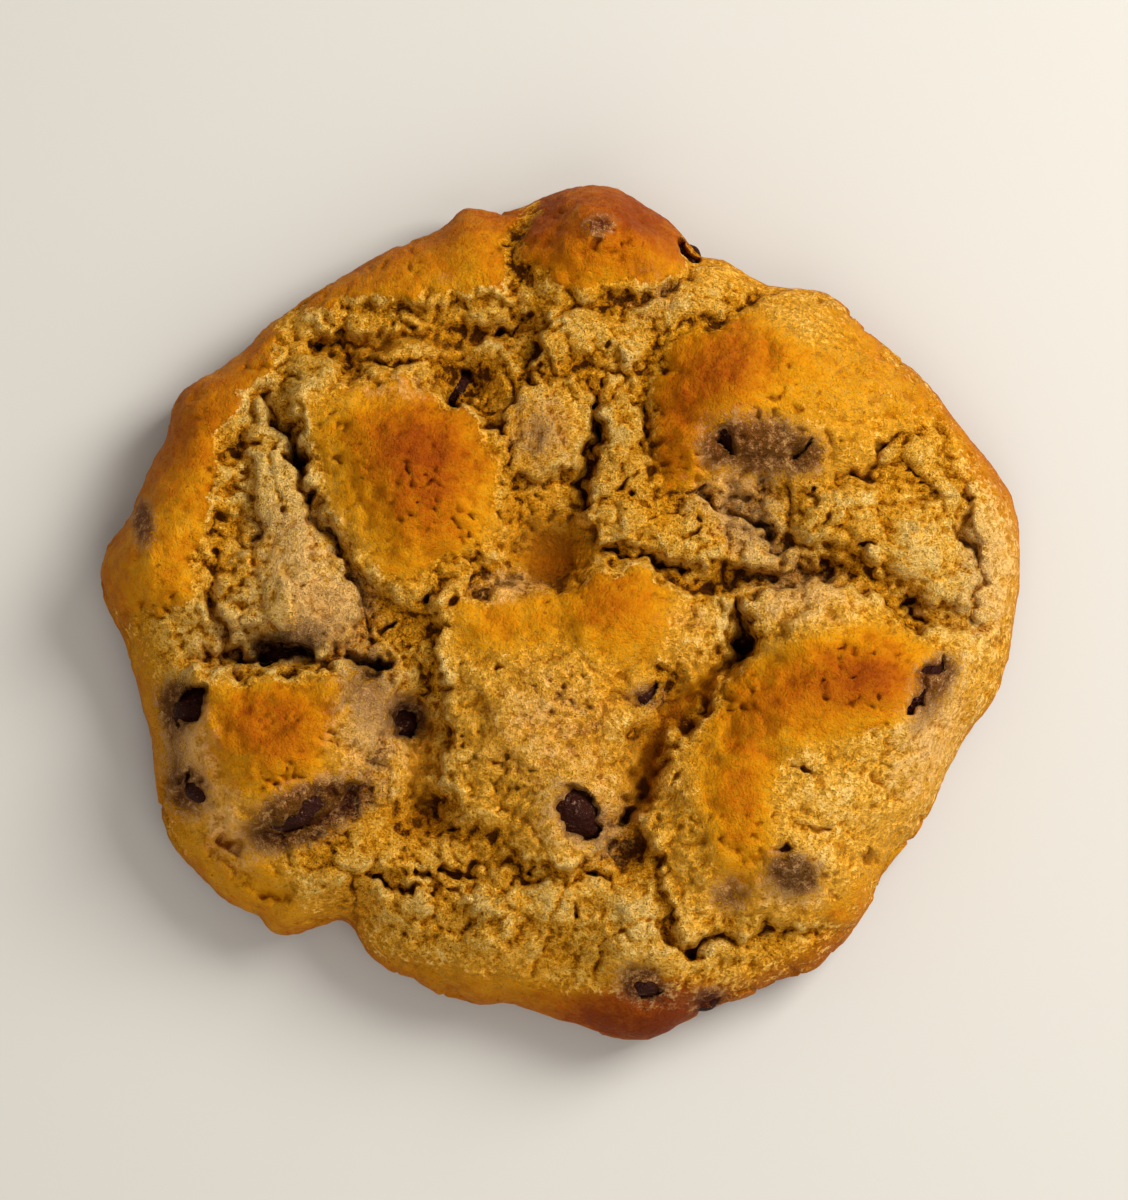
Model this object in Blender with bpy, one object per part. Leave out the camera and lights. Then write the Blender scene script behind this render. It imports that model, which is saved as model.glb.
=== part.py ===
"""Home-baked chocolate chip cookie: one baked dough body and the chips that show in its crust.

The cookie lies flat on its base. +Z is up, +X runs along its longest side, and the origin is on the
resting plane under the middle of its outline. Sizes below are millimetres; MM turns them into metres.
"""
import math
from typing import NamedTuple

import bmesh
import bpy
import numpy as np
from mathutils import Matrix, Vector

MM = 0.001

# ---- driving sizes of the dough ----
REACH = 40.0            # middle to rim, before the lobes of the outline are added
WAIST = 3.9             # height of the widest level of the side
SHOULDER = 9.0          # how far in from the rim the top rounds over
UNDERCUT = 3.2          # how far the resting face is set in from the rim
FLOOR_RIM = 10.8        # crust height at the rim between the raised plates
FLOOR_MIDDLE = 13.4     # the same in the middle
BELOW_BASE = 1.2        # dough under the resting plane, sliced off flat
CLUMP_SIZE = 4.2        # spacing of the torn crumb's lumps
CLUMP_RISE = 1.6        # and how far they stand
RAGGED = 0.9            # how far the torn edges wander
GRID_CELLS = 176        # cells across the sheet that the crust is shaped from
UNDERCUT_STEPS = 6
DOUGH_TRIANGLES = 4840  # faces kept on the dough before the chips are seated

# ---- driving sizes of the chips ----
CHIP_GAP = 0.3          # clearance between a chip and its seat
CHIP_SIDES = 12
CHIP_RINGS = 8
CHIP_TIP = 0.22         # how far the drop's tip is drawn out, as a share of its height

DOUGH_COLOUR = (0.52, 0.26, 0.065, 1.0)
CHIP_COLOUR = (0.045, 0.016, 0.009, 1.0)


class Lobe(NamedTuple):
    """A swelling (or a dip, if its rise is negative) of the outline round one bearing."""
    bearing: float      # degrees, anticlockwise from +X
    rise: float
    half_width: float   # degrees


class Plate(NamedTuple):
    """A piece of crust that the rising dough has pushed up and torn free along its edges."""
    name: str
    level: float        # how far its edge stands over the crumb round it
    crown: float        # how far its middle bulges over its edge
    edge: float         # width of its torn wall
    corners: tuple


class Crack(NamedTuple):
    """A tear in the crust."""
    half_width: float
    depth: float
    points: tuple


class Lump(NamedTuple):
    """A round rise (or a hollow, if its rise is negative)."""
    x: float
    y: float
    radius: float
    rise: float


class Chip(NamedTuple):
    """A chocolate chip that shows: its place, size, bearing and how far it stands proud."""
    name: str
    x: float
    y: float
    length: float
    width: float
    height: float
    bearing: float
    proud: float


OUTLINE = (
    Lobe(11, 6.6, 17), Lobe(34, 2.0, 9), Lobe(49, 1.7, 7), Lobe(60, -1.6, 7), Lobe(69, -1.2, 3),
    Lobe(85, 3.0, 9), Lobe(103, 1.4, 3.5), Lobe(137, 0.8, 9), Lobe(151, 3.6, 7), Lobe(162, 2.4, 6),
    Lobe(175, 6.05, 9), Lobe(190, 2.2, 8), Lobe(202, 2.4, 8), Lobe(212, 4.4, 8), Lobe(222, 2.8, 6),
    Lobe(229, 2.0, 3), Lobe(236, -2.4, 4.5), Lobe(246, -0.6, 5), Lobe(263, -0.6, 4),
    Lobe(282, 3.6, 9), Lobe(295, 1.8, 5), Lobe(306, 3.6, 8), Lobe(315, 1.6, 5), Lobe(331, 1.8, 12),
    Lobe(351, 2.8, 9),
)

PLATES = (
    Plate("northwest crown", 2.0, 2.5, 1.8, (
        (-26, 20), (-23.5, 22.5), (-16, 22.5), (-9.5, 20.5), (-6.5, 17), (-5.2, 11), (-5.2, 7),
        (-8, 4.5), (-12.5, 3.2), (-15, 1), (-18.5, 3), (-21.5, 7), (-24.5, 13))),
    Plate("middle crown", 1.8, 2.2, 1.7, (
        (-12, 1), (-6, 0.8), (0, 1.5), (4, 3.5), (9, 3.2), (13, 0.5), (16, -0.5), (15.5, -4),
        (13, -7), (9.5, -7), (6.8, -9.5), (7, -14), (6.3, -19), (5, -23.5), (1, -25.5), (-5, -25),
        (-9.5, -21), (-11.5, -15), (-11, -8), (-12.3, -3))),
    Plate("southwest crown", 2.2, 3.2, 1.6, (
        (-37, -6.3), (-28, -7.2), (-20, -6), (-17, -7), (-16.8, -12), (-18.5, -16.5), (-22, -19),
        (-29, -22.5), (-33, -22), (-37.5, -17), (-39.5, -10.5))),
    Plate("southeast crown", 1.9, 3.4, 1.7, (
        (19.5, -0.5), (24, 2.3), (30, 0), (37, -3), (43.5, -3), (42, -9), (38.5, -16.5),
        (34, -23.5), (30, -30), (24, -31), (16, -31.8), (12, -33.5), (10.5, -29), (8.8, -23),
        (9.3, -17), (12, -13.5), (15, -11), (15.5, -8.5), (17.5, -6), (18.8, -3))),
    Plate("northeast crown", 1.6, 3.0, 2.4, (
        (8.5, 22), (11, 26), (16, 28.5), (20, 31), (27, 31), (33, 26.5), (38, 20.5), (37.5, 18),
        (33.5, 17), (32, 13.5), (28, 12), (24, 11), (20, 11.8), (15, 11), (10.5, 10), (9.3, 15))),
    Plate("north bump", 1.6, 4.0, 2.6, (
        (-3.8, 34), (-3.6, 39), (-2, 43), (4, 46), (9, 44), (12.8, 38), (12.5, 33.5), (9.5, 31.5),
        (4, 31), (-1, 31.5))),
    Plate("northwest rim", 1.6, 1.6, 1.8, (
        (-4.8, 43), (-12, 43), (-22, 37), (-29, 31), (-25.5, 29.2), (-19, 30.3), (-12, 30.6),
        (-5, 30.6))),
    Plate("west rim", 1.8, 2.2, 1.8, (
        (-28.5, 32), (-36, 27), (-42, 22), (-47, 12), (-48, 4), (-46, -1), (-40, -2), (-36, -0.5),
        (-35.2, 5), (-34.2, 11), (-33.2, 17), (-30, 21.5), (-28.5, 25.5))),
    Plate("west ridge", 1.2, 0.5, 1.2, (
        (-31, 16.5), (-29, 20), (-27.6, 17), (-26.8, 13.5), (-25, 10), (-23.5, 7.2), (-22, 4.5),
        (-21.3, 0), (-22, -3.8), (-28.5, -3.8), (-33, -2.5), (-33.2, 3), (-30, 6.5), (-29.8, 10))),
    Plate("pale plate", 1.7, 1.0, 1.3, (
        (-27.5, 5.5), (-24.8, 7.2), (-22.4, 5.2), (-20.6, 0.8), (-20.8, -3), (-24, -4), (-28, -3.4),
        (-29, 1))),
    Plate("east rim", 1.2, 1.4, 1.6, (
        (36.5, 22), (39.5, 12), (41, 6), (42, 0.5), (43, -1.2), (48, 0), (49, 8), (46, 16),
        (40, 23))),
    Plate("east crumb", 1.4, 1.2, 1.2, (
        (25, 10.5), (30, 12), (33, 16), (36.5, 17), (39, 11), (40.3, 5), (40.8, 0.5), (37, 0.3),
        (33, 1.8), (30.5, 6), (26, 5.5), (23, 7.5))),
    Plate("north crumb", 1.5, 0.8, 1.6, (
        (-1, 29), (4, 28.5), (11, 30.5), (14, 34), (20, 33), (16, 29.5), (11, 27), (7.5, 24),
        (3, 25.5), (-2, 24.5))),
    Plate("grey knob", 1.5, 1.2, 1.8, (
        (-5.5, 19), (-3, 22), (1, 22.5), (3, 19), (1.5, 14.5), (-1.5, 12), (-5.2, 13.5))),
    Plate("middle ridge", 1.4, 0.9, 1.3, (
        (4, 19.5), (7, 20), (8.3, 15), (9.5, 10.5), (14, 9.5), (19, 7.5), (23, 5), (26, 4.2),
        (20, 3.6), (14, 4.6), (9, 5.5), (4, 6.5), (2.6, 9.5), (3.6, 14))),
)

CRACKS = (
    Crack(1.4, 5.0, ((-28.6, 20.8), (-26.9, 17.6), (-25.6, 14))),
    Crack(1.1, 3.0, ((-25.6, 14), (-24.2, 9), (-22, 6.4), (-20.2, 1), (-18, -3.5))),
    Crack(0.9, 2.6, ((-31.5, 17), (-32.6, 12), (-30.6, 9.5), (-30.4, 4.5))),
    Crack(0.9, 2.8, ((-34, 5), (-34.2, -0.5), (-33, -4.5))),
    Crack(1.1, 4.6, ((-31.5, -5.0), (-27, -5.0), (-23, -5.2), (-17.2, -5.6))),
    Crack(0.9, 2.0, ((-36.4, -5.8), (-31.5, -5.0))),
    Crack(2.0, 2.4, ((-24.5, 26.6), (-21, 26.4), (-15, 26.6), (-10, 26.4), (-4.6, 27.8), (-3, 25.6))),
    Crack(1.2, 3.0, ((3.2, 21), (3.4, 17), (2, 12.5), (2, 9.5))),
    Crack(2.0, 2.6, ((14.5, 1.6), (20, 2.9), (25.5, 3.4), (31, 3.6))),
    Crack(1.3, 4.6, ((17.8, -0.8), (17.4, -4.6))),
    Crack(2.0, 2.8, ((17.2, -4.6), (14, -8.6), (10.5, -11), (8.2, -15.5), (7.6, -21), (6, -25.5))),
    Crack(1.8, 2.2, ((-14, -8), (-14, -13), (-14.2, -18), (-11.5, -22.4))),
    Crack(1.2, 4.6, ((12.1, -34.2), (15, -33), (20, -32.4), (24.5, -31.6))),
    Crack(0.9, 2.4, ((37, 20.4), (40, 12), (41.2, 4), (41.9, -1))),
    Crack(0.8, 2.2, ((27.4, 12.6), (31.2, 13.4), (33.2, 17.2))),
    Crack(0.9, 2.4, ((-0.5, -27.3), (-6, -26.6), (-12, -25.6))),
    Crack(1.4, 1.6, ((-39, -17), (-36, -22), (-32, -26), (-27, -29))),
)

LUMPS = (
    Lump(-1, 5.5, 4.2, -2.8), Lump(-9.3, 22.6, 2.6, -3.4), Lump(-15.1, -11.4, 2.2, -3.0),
    Lump(-14, 15.5, 4.5, 1.1), Lump(-13, 8, 3.8, 0.8), Lump(-28, -12.5, 6.0, 1.2),
    Lump(30, -8, 5.0, 1.5), Lump(22, -10, 4.5, 0.9), Lump(18, -19, 4.5, 0.8), Lump(6, -1, 5.0, 1.0),
    Lump(16, 23, 5.0, 1.6), Lump(10.5, 16, 3.4, 1.0), Lump(21, 16, 5.0, 0.8), Lump(3, 37, 5.0, 1.2),
    Lump(2, -20.5, 4.2, 0.9), Lump(-25.5, -20, 4.4, 1.0), Lump(-19.5, -10, 3.6, 1.4),
    Lump(7, -29, 3.6, 2.4), Lump(6.4, -33, 3.2, 1.6), Lump(-6, -32, 3.8, 1.8), Lump(0, -28.6, 3.2, 1.6),
    Lump(-12.5, -30.5, 3.6, 1.2), Lump(-20, -26, 4.0, 1.4), Lump(9.5, -38.5, 5.0, 1.8),
    Lump(-30, -28, 5.0, 1.2), Lump(28, 8, 3.2, 1.4), Lump(34.5, 5, 3.6, 1.2), Lump(24, -1, 4.6, 1.0),
    Lump(-41, 8, 5.0, 1.0), Lump(-24.5, 2, 3.8, 1.2), Lump(22.6, -26.4, 3.4, 0.8),
    Lump(16.5, -28.8, 3.0, -1.4), Lump(36.5, -17, 5.0, 0.8), Lump(-22, -33, 3.0, -2.2),
    Lump(8.3, -37.6, 2.4, -2.0), Lump(-37.8, -10.0, 2.2, -2.0), Lump(34.8, 1, 1.6, -2.2),
)

CHIPS = (
    Chip("chip_northeast", 20.0, 15.4, 10.4, 5.8, 4.6, -6, 0.5),
    Chip("chip_east", 37.0, -8.4, 8.0, 4.2, 4.0, 55, 0.5),
    Chip("chip_southeast", 22.9, -26.6, 5.8, 5.0, 4.2, -20, 0.5),
    Chip("chip_middle", 2.0, -21.0, 7.6, 5.4, 4.6, -38, 0.4),
    Chip("chip_southwest", -25.0, -20.8, 10.4, 5.6, 4.6, 22, 0.5),
    Chip("chip_west", -37.8, -10.1, 5.4, 5.0, 4.4, 60, 0.4),
    Chip("chip_west_rim", -36.7, -18.7, 5.0, 4.2, 4.0, -50, 0.4),
    Chip("chip_midwest", -27.8, -4.9, 6.8, 4.2, 4.2, -4, 0.9),
    Chip("chip_small", 8.4, -9.4, 5.0, 4.0, 3.8, 20, 0.5),
    Chip("chip_south", 8.3, -37.6, 6.0, 4.6, 4.2, 5, 0.5),
    Chip("chip_south_rim", 15.0, -39.3, 4.8, 3.8, 3.8, 30, 0.4),
    Chip("chip_north_rim", 13.4, 36.4, 4.6, 3.2, 3.6, -38, 0.5),
    Chip("chip_north_hollow", -9.6, 22.5, 5.0, 4.0, 4.0, 70, 0.6),
    Chip("chip_deep", -15.1, -11.6, 5.2, 4.6, 4.0, 80, 0.5),
)


def smooth_step(value):
    """Go from 0 to 1 without a corner while the value does."""
    value = np.clip(value, 0.0, 1.0)
    return value * value * (3.0 - 2.0 * value)


def reach_of(bearing):
    """Distance from the middle to the rim at a bearing in degrees."""
    reach = np.full_like(bearing, REACH)
    for lobe in OUTLINE:
        off = (bearing - lobe.bearing + 180.0) % 360.0 - 180.0
        reach = reach + lobe.rise * np.exp(-(off / lobe.half_width) ** 2)
    return reach


def chance(column, row, seed):
    """A number from 0 to 1 that is always the same for one cell of a grid."""
    mixed = (column * 374761393 + row * 668265263 + seed * 974634777) & 0xFFFFFFFF
    mixed = ((mixed ^ (mixed >> 13)) * 1274126177) & 0xFFFFFFFF
    return ((mixed ^ (mixed >> 16)) & 0xFFFF) / 65535.0


def wander(x, y, size, seed):
    """Soft rises and dips from -1 to 1, a few of the given size apart."""
    column, row = np.floor(x / size), np.floor(y / size)
    across, along = smooth_step(x / size - column), smooth_step(y / size - row)
    column, row = column.astype(np.int64), row.astype(np.int64)
    near = chance(column, row, seed) * (1 - across) + chance(column + 1, row, seed) * across
    far = chance(column, row + 1, seed) * (1 - across) + chance(column + 1, row + 1, seed) * across
    return 2.0 * (near * (1 - along) + far * along) - 1.0


def clumps(x, y, size, seed):
    """Round lumps packed side by side: 1 at a lump's middle, 0 in the creases between."""
    column, row = np.floor(x / size).astype(np.int64), np.floor(y / size).astype(np.int64)
    nearest = np.full_like(x, 9.0)
    for right in (-1, 0, 1):
        for up in (-1, 0, 1):
            cell_x, cell_y = column + right, row + up
            away = np.hypot(x / size - cell_x - chance(cell_x, cell_y, seed),
                            y / size - cell_y - chance(cell_x, cell_y, seed + 7))
            nearest = np.minimum(nearest, away)
    return 1.0 - np.clip(nearest, 0.0, 1.0) ** 2


def distance_to_line(x, y, points):
    """Distance from each place to a line through the points."""
    nearest = np.full_like(x, 1000.0)
    for (ax, ay), (bx, by) in zip(points[:-1], points[1:]):
        span_x, span_y = bx - ax, by - ay
        share = ((x - ax) * span_x + (y - ay) * span_y) / (span_x ** 2 + span_y ** 2)
        share = np.clip(share, 0.0, 1.0)
        nearest = np.minimum(nearest, np.hypot(x - ax - share * span_x, y - ay - share * span_y))
    return nearest


def distance_inside(x, y, corners):
    """Distance in from a closed outline, negative outside it."""
    inside = np.zeros(x.shape, dtype=bool)
    closed = corners + corners[:1]
    for (ax, ay), (bx, by) in zip(closed[:-1], closed[1:]):
        if ay != by:
            crosses = (ay > y) != (by > y)
            inside ^= crosses & (x < (bx - ax) * (y - ay) / (by - ay) + ax)
    away = distance_to_line(x, y, closed)
    return np.where(inside, away, -away)


def crust_height(x, y):
    """Height of the crust over the resting plane, before its rim rounds over."""
    share = np.hypot(x, y) / reach_of(np.degrees(np.arctan2(y, x)))
    height = FLOOR_RIM + (FLOOR_MIDDLE - FLOOR_RIM) * (1.0 - share ** 2)
    torn_x = x + RAGGED * wander(x, y, 2.6, 1)
    torn_y = y + RAGGED * wander(x, y, 2.6, 2)
    raised = np.zeros_like(x)
    for plate in PLATES:
        into = distance_inside(torn_x, torn_y, plate.corners)
        crown = plate.crown * (1.0 - np.exp(-(np.clip(into, 0.0, None) / 5.5) ** 2))
        raised = np.maximum(raised, plate.level * smooth_step(into / plate.edge + 0.5) + crown)
    crumb = 1.0 - smooth_step(raised / 3.0)
    height = height + raised + CLUMP_RISE * crumb * (clumps(x, y, CLUMP_SIZE, 3) - 0.5)
    height = height + 0.35 * wander(x, y, 6.0, 4)
    for lump in LUMPS:
        away = ((x - lump.x) ** 2 + (y - lump.y) ** 2) / lump.radius ** 2
        height = height + lump.rise * np.exp(-away)
    for crack in CRACKS:
        away = distance_to_line(torn_x, torn_y, crack.points)
        height = height - crack.depth * np.exp(-(away / crack.half_width) ** 2)
    return height


def top_height(x, y):
    """Height of the top of the dough, rounded over to the waist at the rim."""
    in_from_rim = reach_of(np.degrees(np.arctan2(y, x))) - np.hypot(x, y)
    turn = 1.0 - np.clip(in_from_rim / SHOULDER, 0.0, 1.0)
    return WAIST + (crust_height(x, y) - WAIST) * np.sqrt(1.0 - turn ** 2)


def material(name, colour, roughness):
    """A plain finish of one colour."""
    made = bpy.data.materials.new(name)
    made.use_nodes = True
    surface = made.node_tree.nodes["Principled BSDF"]
    surface.inputs["Base Color"].default_value = colour
    surface.inputs["Roughness"].default_value = roughness
    surface.inputs["Metallic"].default_value = 0.0
    return made


def add_object(name, shape, finish):
    """Put a mesh in the scene as a named object with its finish."""
    mesh = bpy.data.meshes.new(name)
    shape.to_mesh(mesh)
    shape.free()
    if finish:
        mesh.materials.append(finish)
    mesh.shade_smooth()
    mesh.set_sharp_from_angle(angle=math.radians(50))
    made = bpy.data.objects.new(name, mesh)
    bpy.context.scene.collection.objects.link(made)
    return made


def sheet_on_disc(cells):
    """Bearing (degrees) and share of the reach for a square sheet drawn into a disc."""
    line = np.linspace(-1.0, 1.0, cells + 1)
    across, along = np.meshgrid(line, line, indexing="ij")
    wide = np.abs(across) >= np.abs(along)
    share = np.where(wide, np.abs(across), np.abs(along))
    safe = np.where(share > 0, share, 1.0)
    slant = np.where(wide, along / safe, across / safe) * 45.0
    bearing = np.where(wide, np.where(across >= 0, slant, 180.0 - slant),
                       np.where(along >= 0, 90.0 - slant, 270.0 + slant))
    return bearing % 360.0, share


def dough_shape():
    """The whole dough as a closed mesh: crust, rounded side, undercut and underside."""
    bearing, share = sheet_on_disc(GRID_CELLS)
    reach = reach_of(bearing)
    # The rows crowd together towards the rim, where the side turns down.
    turned = 1.0 - SHOULDER / reach
    eased = np.clip((share - 0.8) / 0.2, 0.0, 1.0)
    outward = np.where(share < 0.8, turned * share / 0.8,
                       turned + (1.0 - turned) * np.sin(eased * math.pi / 2))
    radius = outward * reach
    x, y = radius * np.cos(np.radians(bearing)), radius * np.sin(np.radians(bearing))
    z = top_height(x, y)

    shape = bmesh.new()
    sheet = [[shape.verts.new((x[i, j] * MM, y[i, j] * MM, z[i, j] * MM))
              for j in range(GRID_CELLS + 1)] for i in range(GRID_CELLS + 1)]
    for i in range(GRID_CELLS):
        for j in range(GRID_CELLS):
            shape.faces.new((sheet[i][j], sheet[i + 1][j], sheet[i + 1][j + 1], sheet[i][j + 1]))

    last = GRID_CELLS
    rim = ([(i, 0) for i in range(last)] + [(last, j) for j in range(last)]
           + [(last - i, last) for i in range(last)] + [(0, last - j) for j in range(last)])
    ring = [sheet[i][j] for i, j in rim]
    for step in range(1, UNDERCUT_STEPS + 1):
        turn = step / UNDERCUT_STEPS * math.pi / 2
        inset = UNDERCUT * (1.0 - math.cos(turn))
        height = WAIST - (WAIST + BELOW_BASE) * math.sin(turn)
        lower = []
        for i, j in rim:
            heading = math.radians(bearing[i, j])
            out = reach[i, j] - inset
            lower.append(shape.verts.new((out * math.cos(heading) * MM,
                                          out * math.sin(heading) * MM, height * MM)))
        for k in range(len(rim)):
            after = (k + 1) % len(rim)
            shape.faces.new((ring[after], ring[k], lower[k], lower[after]))
        ring = lower
    centre = shape.verts.new((0.0, 0.0, -BELOW_BASE * MM))
    for k in range(len(rim)):
        shape.faces.new((ring[(k + 1) % len(rim)], ring[k], centre))
    bmesh.ops.recalc_face_normals(shape, faces=shape.faces)
    return shape


def chip_shape(chip, spare):
    """A softened chocolate drop, flat under and with a blunt tip, made larger by the spare."""
    shape = bmesh.new()
    bmesh.ops.create_uvsphere(shape, u_segments=CHIP_SIDES, v_segments=CHIP_RINGS, radius=1.0)
    half = Vector((chip.length / 2, chip.width / 2, chip.height / 2))
    for vert in shape.verts:
        up = vert.co.z
        waist = 1.0 - 0.30 * max(0.0, up) ** 2
        tip = CHIP_TIP * max(0.0, up) ** 6
        level = max(up + tip, -0.82)
        vert.co = Vector((vert.co.x * waist * half.x, vert.co.y * waist * half.y, level * half.z))
        vert.co += vert.co.normalized() * spare
    bmesh.ops.recalc_face_normals(shape, faces=shape.faces)
    return shape


def place_of(chip):
    """Where a chip lies: level with the crust round it, its tip turned up out of the dough."""
    step = 2.2
    x = np.array([chip.x, chip.x + step, chip.x - step, chip.x, chip.x])
    y = np.array([chip.y, chip.y, chip.y, chip.y + step, chip.y - step])
    z = top_height(x, y)
    slope = Vector(((z[2] - z[1]) / (2 * step), (z[4] - z[3]) / (2 * step), 1.0)).normalized()
    surface = Vector((chip.x, chip.y, float(z[0])))
    tip = chip.height / 2 * (1.0 + CHIP_TIP)
    middle = surface + slope * (chip.proud - tip)
    turn = Vector((0, 0, 1)).rotation_difference(slope).to_matrix().to_4x4()
    heading = Matrix.Rotation(math.radians(chip.bearing), 4, "Z")
    return Matrix.Translation(middle * MM) @ turn @ heading @ Matrix.Scale(MM, 4)


def add_cutter(name, shape):
    """A shape that only cuts another: drawn as wire and left out of the part."""
    cutter = add_object(name, shape, None)
    cutter.hide_render = True
    cutter.display_type = "WIRE"
    return cutter


def cut(target, cutter, name):
    """Take one shape out of another."""
    step = target.modifiers.new(name, "BOOLEAN")
    step.operation = "DIFFERENCE"
    step.solver = "EXACT"
    step.object = cutter


def add_board_cutter():
    """The block whose top is the resting plane: it slices the underside flat."""
    shape = bmesh.new()
    side, thick = 2.6 * REACH * MM, 8.0 * MM
    bmesh.ops.create_cube(shape, size=1.0)
    bmesh.ops.scale(shape, vec=(side, side, thick), verts=shape.verts)
    bmesh.ops.translate(shape, vec=(0, 0, -thick / 2), verts=shape.verts)
    return add_cutter("board_cutter", shape)


def build():
    """Model the cookie."""
    for old in list(bpy.data.objects):
        bpy.data.objects.remove(old, do_unlink=True)
    baked = material("baked_dough", DOUGH_COLOUR, 0.62)
    chocolate = material("chocolate", CHIP_COLOUR, 0.42)

    dough = add_object("dough", dough_shape(), baked)
    thin = dough.modifiers.new("fewer_faces", "DECIMATE")
    thin.ratio = DOUGH_TRIANGLES / sum(len(face.vertices) - 2 for face in dough.data.polygons)
    cut(dough, add_board_cutter(), "flat_base")
    for chip in CHIPS:
        place = place_of(chip)
        drop = chip_shape(chip, 0.0)
        drop.transform(place)
        add_object(chip.name, drop, chocolate)
        seat = chip_shape(chip, CHIP_GAP)
        seat.transform(place)
        cut(dough, add_cutter(chip.name + "_seat", seat), chip.name)


build()
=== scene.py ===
"""Home-baked chocolate chip cookie: its torn, browned dough and the chocolate chips in its crust.

The form is worked out in millimetres from named features and turned into metres when a mesh is made.
"""
import logging
import math
from dataclasses import dataclass
from enum import Enum
from typing import Any, NamedTuple, Sequence

import bpy
import numpy as np
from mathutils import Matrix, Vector
from mathutils.bvhtree import BVHTree


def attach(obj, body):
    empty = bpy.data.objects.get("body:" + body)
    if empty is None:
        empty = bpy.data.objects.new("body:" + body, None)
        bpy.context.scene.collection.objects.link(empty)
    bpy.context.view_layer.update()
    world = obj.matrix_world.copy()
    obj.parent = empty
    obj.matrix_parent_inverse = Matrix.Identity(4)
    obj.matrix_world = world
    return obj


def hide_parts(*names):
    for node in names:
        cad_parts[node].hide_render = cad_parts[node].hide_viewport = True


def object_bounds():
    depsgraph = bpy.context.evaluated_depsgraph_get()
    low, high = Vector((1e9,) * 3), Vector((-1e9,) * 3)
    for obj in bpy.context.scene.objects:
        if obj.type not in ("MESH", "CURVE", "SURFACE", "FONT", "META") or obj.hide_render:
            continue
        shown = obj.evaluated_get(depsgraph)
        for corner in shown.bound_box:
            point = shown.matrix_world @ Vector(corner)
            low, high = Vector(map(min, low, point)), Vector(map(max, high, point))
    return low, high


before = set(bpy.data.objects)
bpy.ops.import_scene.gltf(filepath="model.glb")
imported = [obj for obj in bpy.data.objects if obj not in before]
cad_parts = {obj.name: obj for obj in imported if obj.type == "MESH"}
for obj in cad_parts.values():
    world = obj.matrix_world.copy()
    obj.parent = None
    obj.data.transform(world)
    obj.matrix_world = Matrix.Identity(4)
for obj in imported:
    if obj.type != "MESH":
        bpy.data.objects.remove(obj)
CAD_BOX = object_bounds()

LOG = logging.getLogger("cookie")
MM = 0.001
BODY = "root"
# A film of chocolate is kept on the mesh as a share of this, the strongest that it gets.
FILM_RANGE = 2.2
Array = np.ndarray


# ---------------------------------------------------------------- named features of the crust

class Lobe(NamedTuple):
    """A swelling (or a dip, if its rise is negative) of the outline round one bearing."""
    bearing: float
    rise: float
    half_width: float


class Cover(Enum):
    """What a raised piece of crust is covered with."""
    SKIN = 1.0
    WORN = 0.55
    CRUMB = 0.12


class Plate(NamedTuple):
    """A piece of crust that the rising dough has pushed up and torn free along its edges."""
    name: str
    level: float
    crown: float
    edge: float
    cover: Cover
    baked: float
    corners: tuple


class Crack(NamedTuple):
    """A tear in the crust."""
    half_width: float
    depth: float
    points: tuple


class Lump(NamedTuple):
    """A round rise (or a hollow, if its rise is negative)."""
    x: float
    y: float
    radius: float
    rise: float


class Patch(NamedTuple):
    """An oval area where one quality of the surface is stronger: its place, size, bearing and strength."""
    x: float
    y: float
    length: float
    width: float
    bearing: float
    strength: float


OUTLINE = (
    Lobe(11, 6.6, 17), Lobe(34, 2.0, 9), Lobe(49, 1.7, 7), Lobe(60, -1.6, 7), Lobe(69, -1.2, 3),
    Lobe(85, 3.0, 9), Lobe(103, 1.4, 3.5), Lobe(137, 0.8, 9), Lobe(151, 3.6, 7), Lobe(162, 2.4, 6),
    Lobe(175, 6.05, 9), Lobe(190, 2.2, 8), Lobe(202, 2.4, 8), Lobe(212, 4.4, 8), Lobe(222, 2.8, 6),
    Lobe(229, 2.0, 3), Lobe(236, -2.4, 4.5), Lobe(246, -0.6, 5), Lobe(263, -0.6, 4), Lobe(282, 3.6, 9),
    Lobe(295, 1.8, 5), Lobe(306, 3.6, 8), Lobe(315, 1.6, 5), Lobe(331, 1.8, 12), Lobe(351, 2.8, 9),
)

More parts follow.
